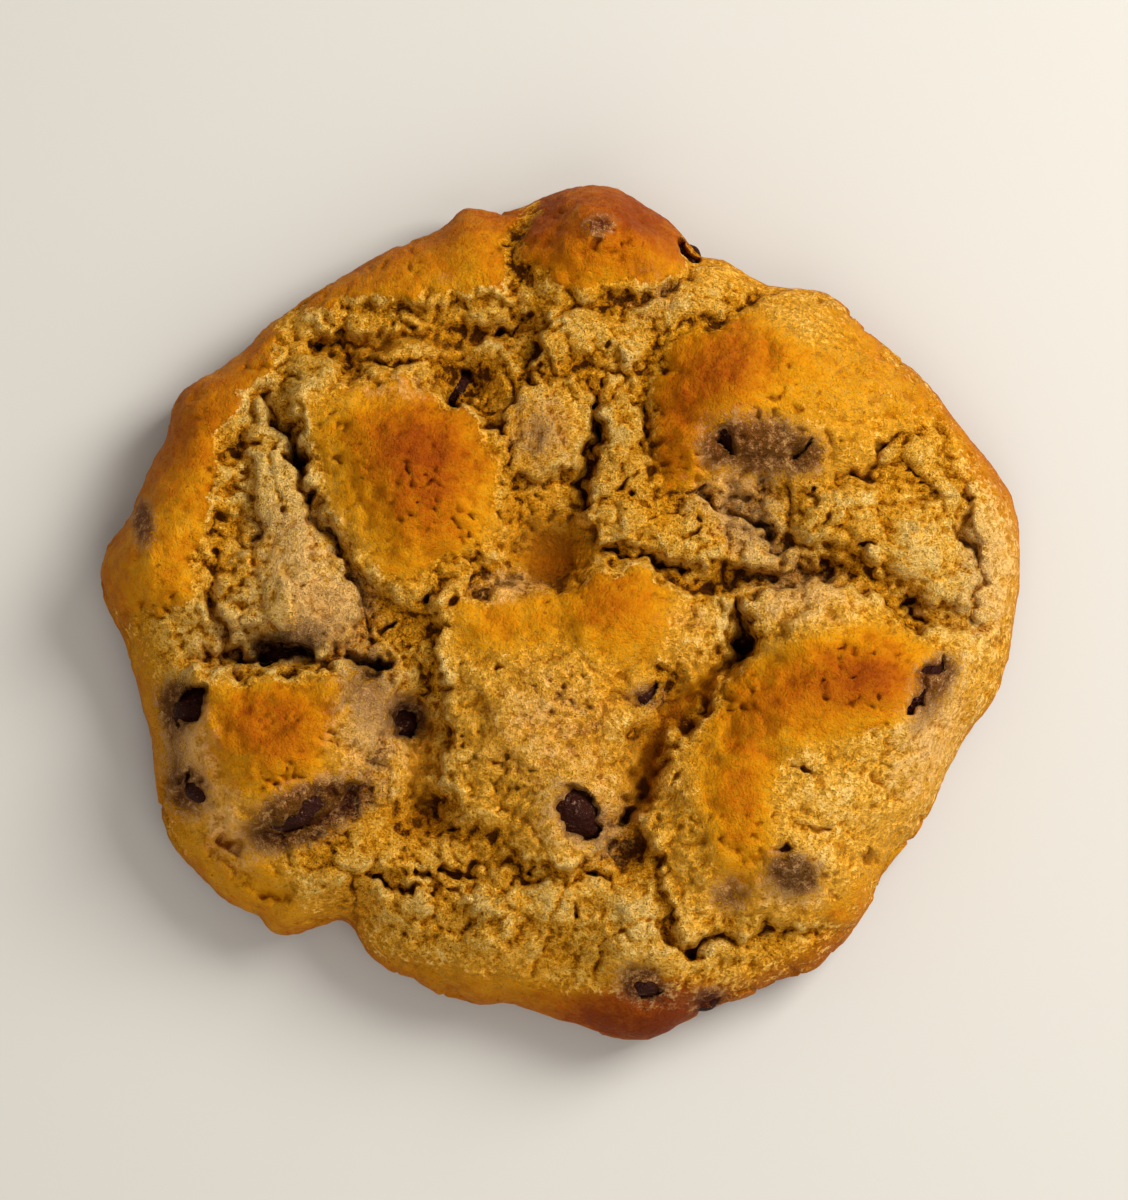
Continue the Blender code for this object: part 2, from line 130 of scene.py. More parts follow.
PLATES = (
    Plate("northwest crown", 2.0, 2.5, 1.8, Cover.SKIN, 0.16, (
        (-26, 20), (-23.5, 22.5), (-16, 22.5), (-9.5, 20.5), (-6.5, 17), (-5.2, 11), (-5.2, 7),
        (-8, 4.5), (-12.5, 3.2), (-15, 1), (-18.5, 3), (-21.5, 7), (-24.5, 13))),
    Plate("middle crown", 1.8, 2.2, 1.7, Cover.SKIN, 0.08, (
        (-12, 1), (-6, 0.8), (0, 1.5), (4, 3.5), (9, 3.2), (13, 0.5), (16, -0.5), (15.5, -4),
        (13, -7), (9.5, -7), (6.8, -9.5), (7, -14), (6.3, -19), (5, -23.5), (1, -25.5), (-5, -25),
        (-9.5, -21), (-11.5, -15), (-11, -8), (-12.3, -3))),
    Plate("southwest crown", 2.2, 3.2, 1.6, Cover.SKIN, 0.12, (
        (-37, -6.3), (-28, -7.2), (-20, -6), (-17, -7), (-16.8, -12), (-18.5, -16.5), (-22, -19),
        (-29, -22.5), (-33, -22), (-37.5, -17), (-39.5, -10.5))),
    Plate("southeast crown", 1.9, 3.4, 1.7, Cover.SKIN, 0.06, (
        (19.5, -0.5), (24, 2.3), (30, 0), (37, -3), (43.5, -3), (42, -9), (38.5, -16.5),
        (34, -23.5), (30, -30), (24, -31), (16, -31.8), (12, -33.5), (10.5, -29), (8.8, -23),
        (9.3, -17), (12, -13.5), (15, -11), (15.5, -8.5), (17.5, -6), (18.8, -3))),
    Plate("northeast crown", 1.6, 3.0, 2.4, Cover.SKIN, 0.14, (
        (8.5, 22), (11, 26), (16, 28.5), (20, 31), (27, 31), (33, 26.5), (38, 20.5), (37.5, 18),
        (33.5, 17), (32, 13.5), (28, 12), (24, 11), (20, 11.8), (15, 11), (10.5, 10), (9.3, 15))),
    Plate("north bump", 1.6, 4.0, 2.6, Cover.SKIN, 0.34, (
        (-3.8, 34), (-3.6, 39), (-2, 43), (4, 46), (9, 44), (12.8, 38), (12.5, 33.5), (9.5, 31.5),
        (4, 31), (-1, 31.5))),
    Plate("northwest rim", 1.3, 1.6, 3.0, Cover.SKIN, 0.36, (
        (-4.8, 43), (-12, 43), (-22, 37), (-29, 31), (-25.5, 29.2), (-19, 30.3), (-12, 30.6),
        (-5, 30.6))),
    Plate("west rim", 1.7, 2.2, 2.8, Cover.SKIN, 0.34, (
        (-28.5, 32), (-36, 27), (-42, 22), (-47, 12), (-48, 4), (-46, -1), (-40, -2), (-36, -0.5),
        (-35.2, 5), (-34.2, 11), (-33.2, 17), (-30, 21.5), (-28.5, 25.5))),
    Plate("west ridge", 1.2, 0.5, 1.2, Cover.CRUMB, 0.12, (
        (-31, 16.5), (-29, 20), (-27.6, 17), (-26.8, 13.5), (-25, 10), (-23.5, 7.2), (-22, 4.5),
        (-21.3, 0), (-22, -3.8), (-28.5, -3.8), (-33, -2.5), (-33.2, 3), (-30, 6.5), (-29.8, 10))),
    Plate("pale plate", 1.7, 1.0, 1.3, Cover.WORN, 0.06, (
        (-27.5, 5.5), (-24.8, 7.2), (-22.4, 5.2), (-20.6, 0.8), (-20.8, -3), (-24, -4), (-28, -3.4),
        (-29, 1))),
    Plate("east rim", 1.2, 1.4, 1.6, Cover.WORN, 0.14, (
        (36.5, 22), (39.5, 12), (41, 6), (42, 0.5), (43, -1.2), (48, 0), (49, 8), (46, 16),
        (40, 23))),
    Plate("east crumb", 1.4, 1.2, 1.2, Cover.CRUMB, 0.20, (
        (25, 10.5), (30, 12), (33, 16), (36.5, 17), (39, 11), (40.3, 5), (40.8, 0.5), (37, 0.3),
        (33, 1.8), (30.5, 6), (26, 5.5), (23, 7.5))),
    Plate("north crumb", 1.5, 0.8, 1.6, Cover.CRUMB, 0.16, (
        (-1, 29), (4, 28.5), (11, 30.5), (14, 34), (20, 33), (16, 29.5), (11, 27), (7.5, 24),
        (3, 25.5), (-2, 24.5))),
    Plate("grey knob", 1.5, 1.2, 1.8, Cover.WORN, 0.05, (
        (-5.5, 19), (-3, 22), (1, 22.5), (3, 19), (1.5, 14.5), (-1.5, 12), (-5.2, 13.5))),
    Plate("middle ridge", 1.4, 0.9, 1.3, Cover.CRUMB, 0.12, (
        (4, 19.5), (7, 20), (8.3, 15), (9.5, 10.5), (14, 9.5), (19, 7.5), (23, 5), (26, 4.2),
        (20, 3.6), (14, 4.6), (9, 5.5), (4, 6.5), (2.6, 9.5), (3.6, 14))),
)

CRACKS = (
    Crack(1.1, 5.0, ((-28.6, 20.8), (-26.9, 17.6), (-25.6, 14))),
    Crack(0.7, 1.3, ((-25.6, 14), (-24.2, 9), (-22, 6.4), (-20.2, 1), (-18, -3.5))),
    Crack(0.8, 1.3, ((-31.5, 17), (-32.6, 12), (-30.6, 9.5), (-30.4, 4.5))),
    Crack(0.7, 1.7, ((-34, 5), (-34.2, -0.5), (-33, -4.5))),
    Crack(0.9, 4.6, ((-31.5, -5.0), (-27, -5.0), (-23, -5.2), (-17.2, -5.6))),
    Crack(1.0, 1.2, ((-36.4, -5.8), (-31.5, -5.0))),
    Crack(1.8, 2.4, ((-24.5, 26.6), (-21, 26.4), (-15, 26.6), (-10, 26.4), (-4.6, 27.8), (-3, 25.6))),
    Crack(1.0, 3.0, ((3.2, 21), (3.4, 17), (2, 12.5), (2, 9.5))),
    Crack(1.9, 2.6, ((14.5, 1.6), (20, 2.9), (25.5, 3.4), (31, 3.6))),
    Crack(1.1, 4.6, ((17.8, -0.8), (17.4, -4.6))),
    Crack(2.4, 1.9, ((16.4, -5.4), (13.4, -8.8), (10.5, -11), (8.2, -15.5), (7.6, -20), (6.6, -24.5))),
    Crack(1.6, 2.2, ((-14, -8), (-14, -13), (-14.2, -18), (-11.5, -22.4))),
    Crack(1.0, 4.6, ((12.1, -34.2), (15, -33), (20, -32.4), (24.5, -31.6))),
    Crack(0.8, 1.5, ((37, 20.4), (40, 12), (41.2, 4), (41.9, -1))),
    Crack(0.7, 1.5, ((27.4, 12.6), (31.2, 13.4), (33.2, 17.2))),
    Crack(1.0, 1.8, ((-0.5, -27.3), (-6, -26.6), (-12, -25.6))),
    Crack(1.2, 1.6, ((-39, -17), (-36, -22), (-32, -26), (-27, -29))),
    Crack(0.6, 2.6, ((-33.2, -22.4), (-31.4, -25.2))),
)

FINE_CRACKS = (
    Crack(0.35, 1.4, ((-32, 24), (-27.5, 24.5))),
    Crack(0.35, 1.2, ((-29.5, 21.5), (-27, 22), (-26, 21.5))),
    Crack(0.3, 1.2, ((8.5, 20.3), (7.8, 18.2), (8.6, 16.5))),
    Crack(0.5, 2.0, ((5, 4.8), (10, 4.2), (12.5, 4))),
    Crack(0.4, 1.6, ((17, 9.3), (19, 8.3), (21.5, 6.5), (23, 5))),
    Crack(0.4, 1.6, ((21, 11.5), (24.5, 10.5), (26, 8.5))),
    Crack(0.4, 1.4, ((31, 0.3), (33, 0), (36.5, -2))),
    Crack(0.35, 1.4, ((22.5, -16.2), (25, -17), (27, -18.5))),
    Crack(0.5, 1.8, ((23.5, -22), (28, -22.3), (31, -24))),
    Crack(0.3, 1.0, ((-26.2, 0.8), (-23.2, 3))),
    Crack(0.4, 1.6, ((-4, -26.3), (0, -26.8), (4, -25.8), (5.5, -27.2))),
    Crack(0.4, 1.6, ((2, 9.5), (5.5, 10.5), (8, 12.5))),
    Crack(0.35, 1.2, ((-9.6, -15.6), (-6, -15), (-3, -15.8))),
    Crack(0.4, 1.6, ((-20, 24.4), (-16, 23.4), (-12, 24.4))),
    Crack(0.45, 1.8, ((-18.5, -26.6), (-15, -28.2), (-11, -27.6))),
    Crack(0.35, 1.4, ((-33, -27), (-28, -28.6), (-23, -27.8))),
)

LUMPS = (
    Lump(-1, 5.5, 4.0, -4.0), Lump(-13.4, -21, 2.6, -1.6), Lump(-9.3, 22.6, 2.6, -3.4),
    Lump(-15.1, -11.4, 2.2, -3.0), Lump(-14, 15.5, 4.5, 1.1), Lump(-13, 8, 3.8, 0.8),
    Lump(-28, -12.5, 6.0, 1.2), Lump(30, -8, 5.0, 1.5), Lump(22, -10, 4.5, 0.9), Lump(18, -19, 4.5, 0.8),
    Lump(6, -1, 5.0, 1.0), Lump(16, 23, 5.0, 1.6), Lump(10.5, 16, 3.4, 1.0), Lump(21, 16, 5.0, 0.8),
    Lump(3, 37, 5.0, 1.2), Lump(2, -20.5, 4.2, 0.9), Lump(-25.5, -20, 4.4, 1.0),
    Lump(-19.5, -10, 3.6, 1.4), Lump(7, -29, 3.6, 2.4), Lump(6.4, -33, 3.2, 1.6), Lump(-6, -32, 3.8, 1.8),
    Lump(0, -28.6, 3.2, 1.6), Lump(-12.5, -30.5, 3.6, 1.2), Lump(-20, -26, 4.0, 1.4),
    Lump(9.5, -38.5, 5.0, 1.8), Lump(-30, -28, 5.0, 1.2), Lump(28, 8, 3.2, 1.4), Lump(34.5, 5, 3.6, 1.2),
    Lump(24, -1, 4.6, 1.0), Lump(-41, 8, 5.0, 1.0), Lump(-24.5, 2, 3.8, 1.2), Lump(22.6, -26.4, 3.4, 0.8),
    Lump(16.5, -28.8, 3.0, -1.4), Lump(36.5, -17, 5.0, 0.8), Lump(-22, -33, 3.0, -2.2),
    Lump(8.3, -37.6, 2.4, -2.0), Lump(-37.8, -10.0, 2.2, -2.0), Lump(34.8, 1, 1.6, -2.2),
)

BROWNED = (
    Patch(-14, 15.5, 6.5, 5.4, 10, 0.75), Patch(-13, 8, 5.2, 4.6, 60, 0.38),
    Patch(6, -0.6, 6.4, 4.6, -20, 0.5), Patch(-6, -2.2, 5.6, 3.2, 0, 0.28),
    Patch(-28, -12.5, 7.4, 5.4, -8, 0.58), Patch(30.5, -7.6, 6.6, 4.2, -8, 0.85),
    Patch(22, -10, 5.0, 3.8, 0, 0.5), Patch(17.8, -19, 8.5, 3.4, 95, 0.52),
    Patch(16, 23.5, 6.6, 5.0, 70, 0.6), Patch(10.8, 15.5, 7.2, 2.6, 85, 0.45),
    Patch(-1.2, 38, 6.0, 4.6, 80, 0.45), Patch(8, 38.5, 5.5, 4.6, 0, 0.55),
    Patch(10.5, -13, 5.4, 2.0, 60, 0.15), Patch(-35.5, 17.5, 6.0, 4.4, 50, 0.28),
    # The patches at (9, -40.5) and (-20, -39) darken the south rim: partly real browning, partly painted
    # shade on the side facing away from the light.
    Patch(-13, 36, 9.0, 3.0, 22, 0.12), Patch(9, -40.5, 8.5, 3.6, 5, 1.2),
    Patch(26, -34.5, 8.0, 3.0, 35, 0.4), Patch(26, 24, 9.0, 5.0, -30, 0.12),
    Patch(-8.5, 22.5, 3.0, 2.2, 70, 0.45), Patch(-20, -39, 16.0, 3.0, -22, 0.3),
    Patch(44, 12, 9.0, 3.2, 110, 0.3), Patch(35, 27, 14.0, 2.4, -48, 0.3),
)

# Paler crust: partly a less baked crust, partly painted light on slopes that face the light.
PALE_AND_LIT = (
    Patch(-21, -14, 4.6, 2.6, 60, 0.5), Patch(24, 0, 6.0, 3.4, 0, 0.6),
    Patch(35.5, -15, 8.5, 4.6, 60, 0.6), Patch(12.5, -2.5, 4.5, 3.6, 0, 0.4),
    Patch(-24, 2.5, 4.6, 4.6, 0, 0.5), Patch(44, 5, 7.0, 3.4, 85, 0.45),
    Patch(-2, -14, 9.0, 6.0, 80, 0.3), Patch(25, -21, 5.5, 4.0, 0, 0.5),
    Patch(23, 28.5, 7.0, 2.4, -20, 0.45), Patch(-31, -7.4, 6.0, 1.6, 0, 0.35),
    Patch(14, 31.5, 6.0, 2.6, 10, 0.4), Patch(37, 8, 5.0, 5.0, 0, 0.3),
)

SMOOTH = (
    Patch(10.8, 15.8, 6.0, 2.0, 82, 0.9), Patch(-1, 5.5, 4.6, 3.8, 20, 1.1),
    Patch(13.4, -8.6, 4.6, 1.9, 50, 1.0), Patch(8.2, -16.5, 5.4, 1.8, 82, 1.0),
    Patch(-13.9, -16, 2.0, 6.0, 0, 0.8), Patch(-16, 26.2, 8.0, 1.5, 0, 0.6),
    Patch(-35, -20, 3.6, 8.5, 35, 1.0), Patch(-30, -28, 8.0, 4.0, -38, 0.9),
    Patch(-6, -39, 16.0, 3.4, -12, 0.9), Patch(9, -40, 7.0, 4.0, 5, 0.8),
    Patch(-42, -8, 3.0, 7.0, 0, 0.8), Patch(26, -34, 9.0, 3.0, 35, 0.4),
)

BARE = (
    Patch(15.7, 15.6, 1.1, 1.3, 0, 1.1), Patch(24.0, 14.4, 1.4, 1.3, 0, 1.2),
    Patch(37.6, -6.3, 1.7, 0.8, 32, 1.0), Patch(35.4, -10.2, 2.6, 0.5, 58, 0.9),
    Patch(22.2, -24.8, 0.9, 0.5, -10, 1.0), Patch(2.0, -21.0, 3.0, 1.3, -50, 1.1),
    Patch(-25.6, -21.2, 3.4, 0.8, 24, 1.0), Patch(-37.8, -9.8, 2.3, 1.9, -40, 1.3),
    Patch(-36.8, -18.6, 1.6, 1.9, 40, 1.2), Patch(-27.8, -4.9, 2.5, 0.9, 0, 1.1),
    Patch(8.4, -9.4, 1.4, 1.0, 0, 1.1), Patch(15.0, -39.3, 1.0, 0.9, 0, 1.1),
    Patch(8.3, -37.6, 1.8, 1.0, -30, 1.1), Patch(13.4, 36.4, 1.6, 0.7, -45, 1.1),
    Patch(-9.6, 22.3, 0.8, 1.6, -20, 1.0), Patch(-15.1, -11.6, 1.1, 1.5, 0, 1.1),
)

HOLES = (
    Patch(-17.7, -27.3, 1.0, 0.6, 20, 2.4), Patch(-13.7, -26.1, 0.9, 0.5, -30, 2.2),
    Patch(-12.9, -29.4, 1.0, 0.4, 40, 2.0), Patch(-15.6, -32.5, 1.1, 0.5, -35, 2.2),
    Patch(1.6, -30.4, 0.8, 0.7, 60, 2.2), Patch(1.8, -32.5, 0.9, 0.5, 0, 2.0),
    Patch(-2.4, -26.3, 1.0, 0.3, 10, 2.0), Patch(3.2, -26.6, 1.9, 0.6, 12, 3.0),
    Patch(7.0, -21.0, 1.2, 1.0, 40, 3.2), Patch(11.0, -30.3, 0.9, 0.5, 50, 2.0),
    Patch(10.2, 22.7, 0.8, 0.6, 20, 2.0), Patch(3.8, 18.0, 0.7, 1.8, -15, 3.2),
    Patch(12.9, 7.3, 0.9, 0.7, 0, 2.2), Patch(26.0, 8.2, 0.6, 0.9, 0, 2.0),
    Patch(34.7, 0.7, 1.5, 1.2, 20, 2.2), Patch(35.8, 12.2, 1.0, 0.5, -30, 1.8),
    Patch(32.7, 16.2, 1.2, 0.6, 30, 2.0), Patch(-26.4, 14.7, 1.0, 1.6, 10, 4.0),
    Patch(-15.3, 28.2, 1.0, 0.6, 0, 2.2), Patch(-5.3, 27.6, 1.2, 0.6, 10, 2.4),
    Patch(-3.6, 28.2, 0.7, 0.6, 0, 2.2), Patch(-21.6, 27.8, 1.1, 0.5, 0, 2.2),
    Patch(-24.2, 26.7, 0.8, 0.6, 30, 2.2), Patch(5.1, 25.3, 0.8, 0.5, 60, 1.8),
    Patch(-24.3, 10.6, 0.8, 1.4, 20, 3.4), Patch(-34.8, 11.9, 0.8, 0.5, 30, 1.8),
    Patch(-27.4, 9.2, 0.7, 0.9, 0, 2.0), Patch(-31.7, -1.9, 1.2, 0.6, 0, 2.2),
    Patch(-10.5, -0.3, 1.3, 0.6, 35, 2.2), Patch(-6.1, -6.8, 0.7, 0.6, 0, 1.6),
    Patch(-13.4, 0.8, 0.8, 0.7, 0, 2.0), Patch(-16.8, -2.3, 0.8, 0.6, 30, 2.2),
    Patch(-9.9, -5.2, 0.5, 0.5, 0, 1.6), Patch(-11.2, -21.9, 1.0, 0.5, 20, 2.2),
    Patch(7.7, -18.1, 0.8, 1.1, 0, 2.6), Patch(12.1, -17.9, 1.3, 0.4, 70, 1.6),
    Patch(24.3, -16.6, 1.9, 0.4, -20, 1.8), Patch(23.9, -22.8, 0.7, 0.4, 0, 1.6),
    Patch(30.8, -24.1, 1.2, 0.5, -20, 2.0), Patch(-23.6, -6.0, 1.4, 0.5, 20, 2.6),
    Patch(19.6, 7.6, 1.8, 0.5, -30, 1.8), Patch(30.4, 5.8, 1.6, 0.5, 10, 2.0),
)

# Painted shade: patches where the dough's colour is darkened, mostly in troughs and hollows and along the
# south rim.
SHADE_PATCHES = (
    Patch(-2, 16.5, 3.6, 4.4, 0, 0.5), Patch(-1, 5.5, 4.2, 3.4, 20, 0.8),
    Patch(12, -10.5, 5.5, 2.3, 51, 0.9), Patch(7.5, -19.5, 5.2, 2.0, 80, 0.9),
    Patch(-13.6, -21, 2.4, 2.4, 0, 0.9), Patch(-20, 24.6, 3.0, 1.2, 0, 0.8),
    Patch(-12.6, 25, 2.6, 1.3, 0, 0.8), Patch(-5, 27.2, 2.4, 1.2, 0, 0.7),
    Patch(22, 3.4, 6.0, 1.3, 8, 0.6), Patch(4, -15.5, 5.0, 5.0, 0, 0.3),
    Patch(-18.5, -1.5, 4.0, 3.4, 0, 0.4), Patch(9.2, -41.0, 6.0, 2.4, 5, 1.0),
    Patch(-8, -38.5, 9.0, 2.2, -14, 0.45), Patch(6, 14, 5.0, 4.0, 0, 0.3),
    Patch(-20, -20, 3.0, 6.0, -50, 0.3),
)

# Painted light: patches where the crumb is lightened, as where more light falls on it.
PAINTED_LIGHT = (
    Patch(-28, 9, 5.0, 10.0, 10, 0.35), Patch(-32.5, -2, 5.5, 4.0, 0, 0.3),
    Patch(7, -30.5, 7.0, 4.0, 0, 0.25), Patch(-6, -31, 7.0, 4.4, -8, 0.12),
    Patch(42, 4, 4.4, 8.0, -6, 0.35), Patch(34, 5, 6.0, 6.0, 0, 0.15), Patch(37, -14, 4.4, 8.0, -20, 0.3),
    Patch(26, -20, 5.0, 5.0, 0, 0.25), Patch(-1, 30, 8.0, 3.0, 0, 0.12),
    Patch(-13, -12, 3.0, 6.0, 0, 0.3), Patch(-31, 22, 4.0, 4.0, 0, 0.3), Patch(7, 25, 5.0, 4.0, 0, 0.15),
)

# Floury pale dough: partly real flour and pale crumb, partly painted light on places that face the light.
FLOURY_AND_LIT = (
    Patch(-2, 17, 3.4, 4.4, 0, 0.6), Patch(-22.5, -1, 4.0, 2.6, 30, 0.9),
    Patch(-26, 5, 4.6, 8.0, 14, 0.6), Patch(-33, -3, 4.0, 4.0, 0, 0.35),
    Patch(19, 6.5, 5.6, 2.6, -28, 0.6), Patch(-1, -12, 7.0, 7.0, 0, 0.4),
    Patch(12.5, -2.5, 4.0, 3.4, 0, 0.25), Patch(-18.5, -12, 4.0, 7.0, 0, 0.7),
    Patch(-37, -14, 3.0, 5.0, 0, 0.6), Patch(24, 0.4, 6.0, 3.0, 0, 0.6), Patch(3, -22, 5.0, 4.0, 0, 0.6),
    Patch(-5, 1.8, 4.0, 1.8, 10, 0.6), Patch(18, 11, 5.0, 3.0, 0, 0.5),
    Patch(-16, 21.5, 6.0, 2.4, 0, 0.3), Patch(10, 30, 4.0, 2.6, 40, 0.4),
    Patch(42.6, 4, 3.8, 8.0, -4, 0.6), Patch(36.5, -13, 3.6, 7.0, -20, 0.6),
    Patch(-33, -22, 3.0, 5.0, 30, 0.5), Patch(23, -28, 4.0, 3.0, 0, 0.5),
)

FILMED = (
    Patch(20, 15.4, 5.6, 2.8, -10, 1.4), Patch(37.2, -6.8, 2.6, 1.6, 32, 1.1),
    Patch(36.4, -10, 3.6, 1.7, 58, 0.75), Patch(23.0, -26.9, 2.6, 2.0, -20, 1.6),
    Patch(2.2, -21.2, 3.6, 2.2, -48, 1.2), Patch(-25.2, -20.9, 5.4, 2.4, 24, 2.2),
    Patch(15.4, 15.0, 1.4, 1.3, 0, 0.9), Patch(24.3, 14.4, 1.3, 1.2, 0, 1.0),
    Patch(-38.2, -13.6, 1.8, 3.6, 0, 0.55), Patch(-37.7, -9.6, 2.6, 2.2, -40, 1.3),
    Patch(-36.8, -18.4, 2.2, 2.6, 40, 1.2), Patch(-19.0, -9.2, 2.6, 4.4, 12, 0.72),
    Patch(-18.0, -5.8, 2.0, 1.6, 0, 0.5), Patch(-41.4, 8.2, 1.2, 2.8, 10, 1.3),
    Patch(3.9, 37.4, 1.5, 1.1, 20, 1.3), Patch(-2, 16.6, 2.4, 3.2, 0, 0.5),
    Patch(31.5, 20.4, 1.4, 1.0, 0, 0.35), Patch(-24.6, -2.6, 4.0, 1.8, 10, 0.5),
    Patch(18.6, 9.8, 3.6, 1.6, -20, 0.42), Patch(16.6, -28.9, 2.2, 2.0, 0, 0.8),
    Patch(8.4, -9.2, 1.9, 1.4, 20, 0.9), Patch(14.9, -39.2, 1.9, 1.6, 0, 1.2),
    Patch(-27.6, -4.4, 3.6, 1.5, 0, 1.2), Patch(-15.0, -11.2, 1.8, 2.0, 0, 1.1),
    Patch(8.2, -37.6, 3.0, 1.9, -20, 1.2), Patch(-12, 32.4, 2.4, 1.4, 0, 0.3),
    Patch(8.5, 33.5, 2.6, 1.4, 0, 0.28), Patch(20, 6.4, 4.6, 1.6, -30, 0.4),
    Patch(-2.5, -17, 2.4, 2.0, 0, 0.2), Patch(12.8, -3.5, 1.0, 0.8, 0, 0.2),
)


# ---------------------------------------------------------------- repeatable unevenness

def smooth_step(value: Array) -> Array:
    """Go from 0 to 1 without a corner while the value does."""
    value = np.clip(value, 0.0, 1.0)
    return value * value * (3.0 - 2.0 * value)


def chance(column: Array, row: Array, layer: Array, seed: int) -> Array:
    """Pick a number that is always the same for one cell of a grid.

    Args:
        column: The cell's place along the grid, a whole number.
        row: Its place across the grid.
        layer: Its place up the grid.
        seed: Which of the many grids to use.

    Returns:
        A number from 0 to 1 for each cell.
    """
    mixed = (column * 374761393 + row * 668265263 + layer * 1442695041 + seed * 974634777) & 0xFFFFFFFF
    mixed = ((mixed ^ (mixed >> 13)) * 1274126177) & 0xFFFFFFFF
    return ((mixed ^ (mixed >> 16)) & 0xFFFF) / 65535.0


def wander(x: Array, y: Array, size: float, seed: int) -> Array:
    """Rise and dip softly over the plan.

    Args:
        x: Places along the plan.
        y: Places across it.
        size: How far apart the rises are.
        seed: Which of the many patterns to use.

    Returns:
        A value from -1 to 1 for each place.
    """
    column, row = np.floor(x / size), np.floor(y / size)
    across, along = smooth_step(x / size - column), smooth_step(y / size - row)
    column, row = column.astype(np.int64), row.astype(np.int64)
    near = chance(column, row, 0, seed) * (1 - across) + chance(column + 1, row, 0, seed) * across
    far = chance(column, row + 1, 0, seed) * (1 - across) + chance(column + 1, row + 1, 0, seed) * across
    return 2.0 * (near * (1 - along) + far * along) - 1.0


def clumps(x: Array, y: Array, size: float, seed: int) -> Array:
    """Pack round lumps side by side over the plan.

    Args:
        x: Places along the plan.
        y: Places across it.
        size: How far apart the lumps' middles are.
        seed: Which of the many packings to use.

    Returns:
        A value for each place: 1 in a lump's middle, 0 in the creases.
    """
    column, row = np.floor(x / size).astype(np.int64), np.floor(y / size).astype(np.int64)
    nearest = np.full_like(x, 9.0)
    for right in (-1, 0, 1):
        for up in (-1, 0, 1):
            cell_x, cell_y = column + right, row + up
            away = np.hypot(x / size - cell_x - chance(cell_x, cell_y, 0, seed),
                            y / size - cell_y - chance(cell_x, cell_y, 0, seed + 7))
            nearest = np.minimum(nearest, away)
    return 1.0 - np.clip(nearest, 0.0, 1.0) ** 2


def grains(points: Array, size: float, seed: int) -> Array:
    """Pack round grains in space.

    Args:
        points: Places, one row of x, y and z each.
        size: How far apart the grains' middles are.
        seed: Which of the many packings to use.

    Returns:
        A value for each place: 1 in a grain's middle, 0 and under in the creases.
    """
    cell = np.floor(points / size).astype(np.int64)
    inside = points / size - cell
    nearest = np.full(len(points), 9.0)
    for step in np.ndindex(3, 3, 3):
        shift = np.array(step) - 1
        column, row, layer = (cell + shift).T
        away = np.zeros(len(points))
        for axis in range(3):
            place = shift[axis] + chance(column, row, layer, seed + 11 * axis)
            away += (inside[:, axis] - place) ** 2
        nearest = np.minimum(nearest, away)
    return 1.0 - nearest * 1.4


def broken(points: Array, size: float, seed: int, shoulder: float) -> tuple[Array, Array]:
    """Flaky lumps broken apart and packed side by side, each at its own level and slant.

    Args:
        points: Places, one row of x and y (or of x, y and z) each.
        size: How far apart the lumps' middles are.
        seed: Which of the many packings to use.
        shoulder: How far in from its edge a lump rounds over, as a share of the size.

    Returns:
        The level of each place, from about -1 to 1, and how near it is to a gap between two lumps, from 0
        to 1.
    """
    cell = np.floor(points / size).astype(np.int64)
    inside = points / size - cell
    axes = range(points.shape[1])
    nearest, second = np.full(len(points), 9.0), np.full(len(points), 9.0)
    level = np.zeros(len(points))
    for step in np.ndindex((3,) * len(axes)):
        shift = np.array(step) - 1
        names = list((cell + shift).T) + [np.int64(0)] * (3 - len(axes))
        off = [inside[:, axis] - shift[axis] - chance(*names, seed + 11 * axis) for axis in axes]
        away = np.sqrt(sum(part ** 2 for part in off))
        slant = sum((chance(*names, seed + 40 + axis) - 0.5) * off[axis] for axis in axes)
        here = chance(*names, seed + 50) - 0.5 + slant
        second = np.minimum(second, np.maximum(nearest, away))
        level = np.where(away < nearest, here, level)
        nearest = np.minimum(nearest, away)
    return 1.2 * level, np.exp(-((second - nearest) / (2.0 * shoulder)) ** 2)


def stir(points: Array, size: float, seed: int) -> Array:
    """Rise and dip softly through space.

    Args:
        points: Places, one row of x, y and z each.
        size: How far apart the rises are.
        seed: Which of the many patterns to use.

    Returns:
        A value from -1 to 1 for each place.
    """
    cell = np.floor(points / size)
    share = smooth_step(points / size - cell)
    cell = cell.astype(np.int64)
    total = np.zeros(len(points))
    for step in np.ndindex(2, 2, 2):
        weight = np.prod(np.where(step, share, 1.0 - share), axis=1)
        column, row, layer = (cell + np.array(step)).T
        total += weight * chance(column, row, layer, seed)
    return 2.0 * total - 1.0


def distance_to_line(x: Array, y: Array, points: Sequence) -> Array:
    """Measure how far places are from a line.

    Args:
        x: Places along the plan.
        y: Places across it.
        points: The line's corners, as pairs of x and y.

    Returns:
        The distance of each place.
    """
    nearest = np.full_like(x, 1000.0)
    for (ax, ay), (bx, by) in zip(points[:-1], points[1:]):
        span_x, span_y = bx - ax, by - ay
        share = ((x - ax) * span_x + (y - ay) * span_y) / (span_x ** 2 + span_y ** 2)
        share = np.clip(share, 0.0, 1.0)
        nearest = np.minimum(nearest, np.hypot(x - ax - share * span_x, y - ay - share * span_y))
    return nearest


def distance_inside(x: Array, y: Array, corners: tuple) -> Array:
    """Measure how far places are inside a closed outline.

    Args:
        x: Places along the plan.
        y: Places across it.
        corners: The outline's corners, as pairs of x and y.

    Returns:
        The distance of each place from the outline, negative outside it.
    """
    inside = np.zeros(x.shape, dtype=bool)
    closed = corners + corners[:1]
    for (ax, ay), (bx, by) in zip(closed[:-1], closed[1:]):
        if ay != by:
            crosses = (ay > y) != (by > y)
            inside ^= crosses & (x < (bx - ax) * (y - ay) / (by - ay) + ax)
    away = distance_to_line(x, y, closed)
    return np.where(inside, away, -away)


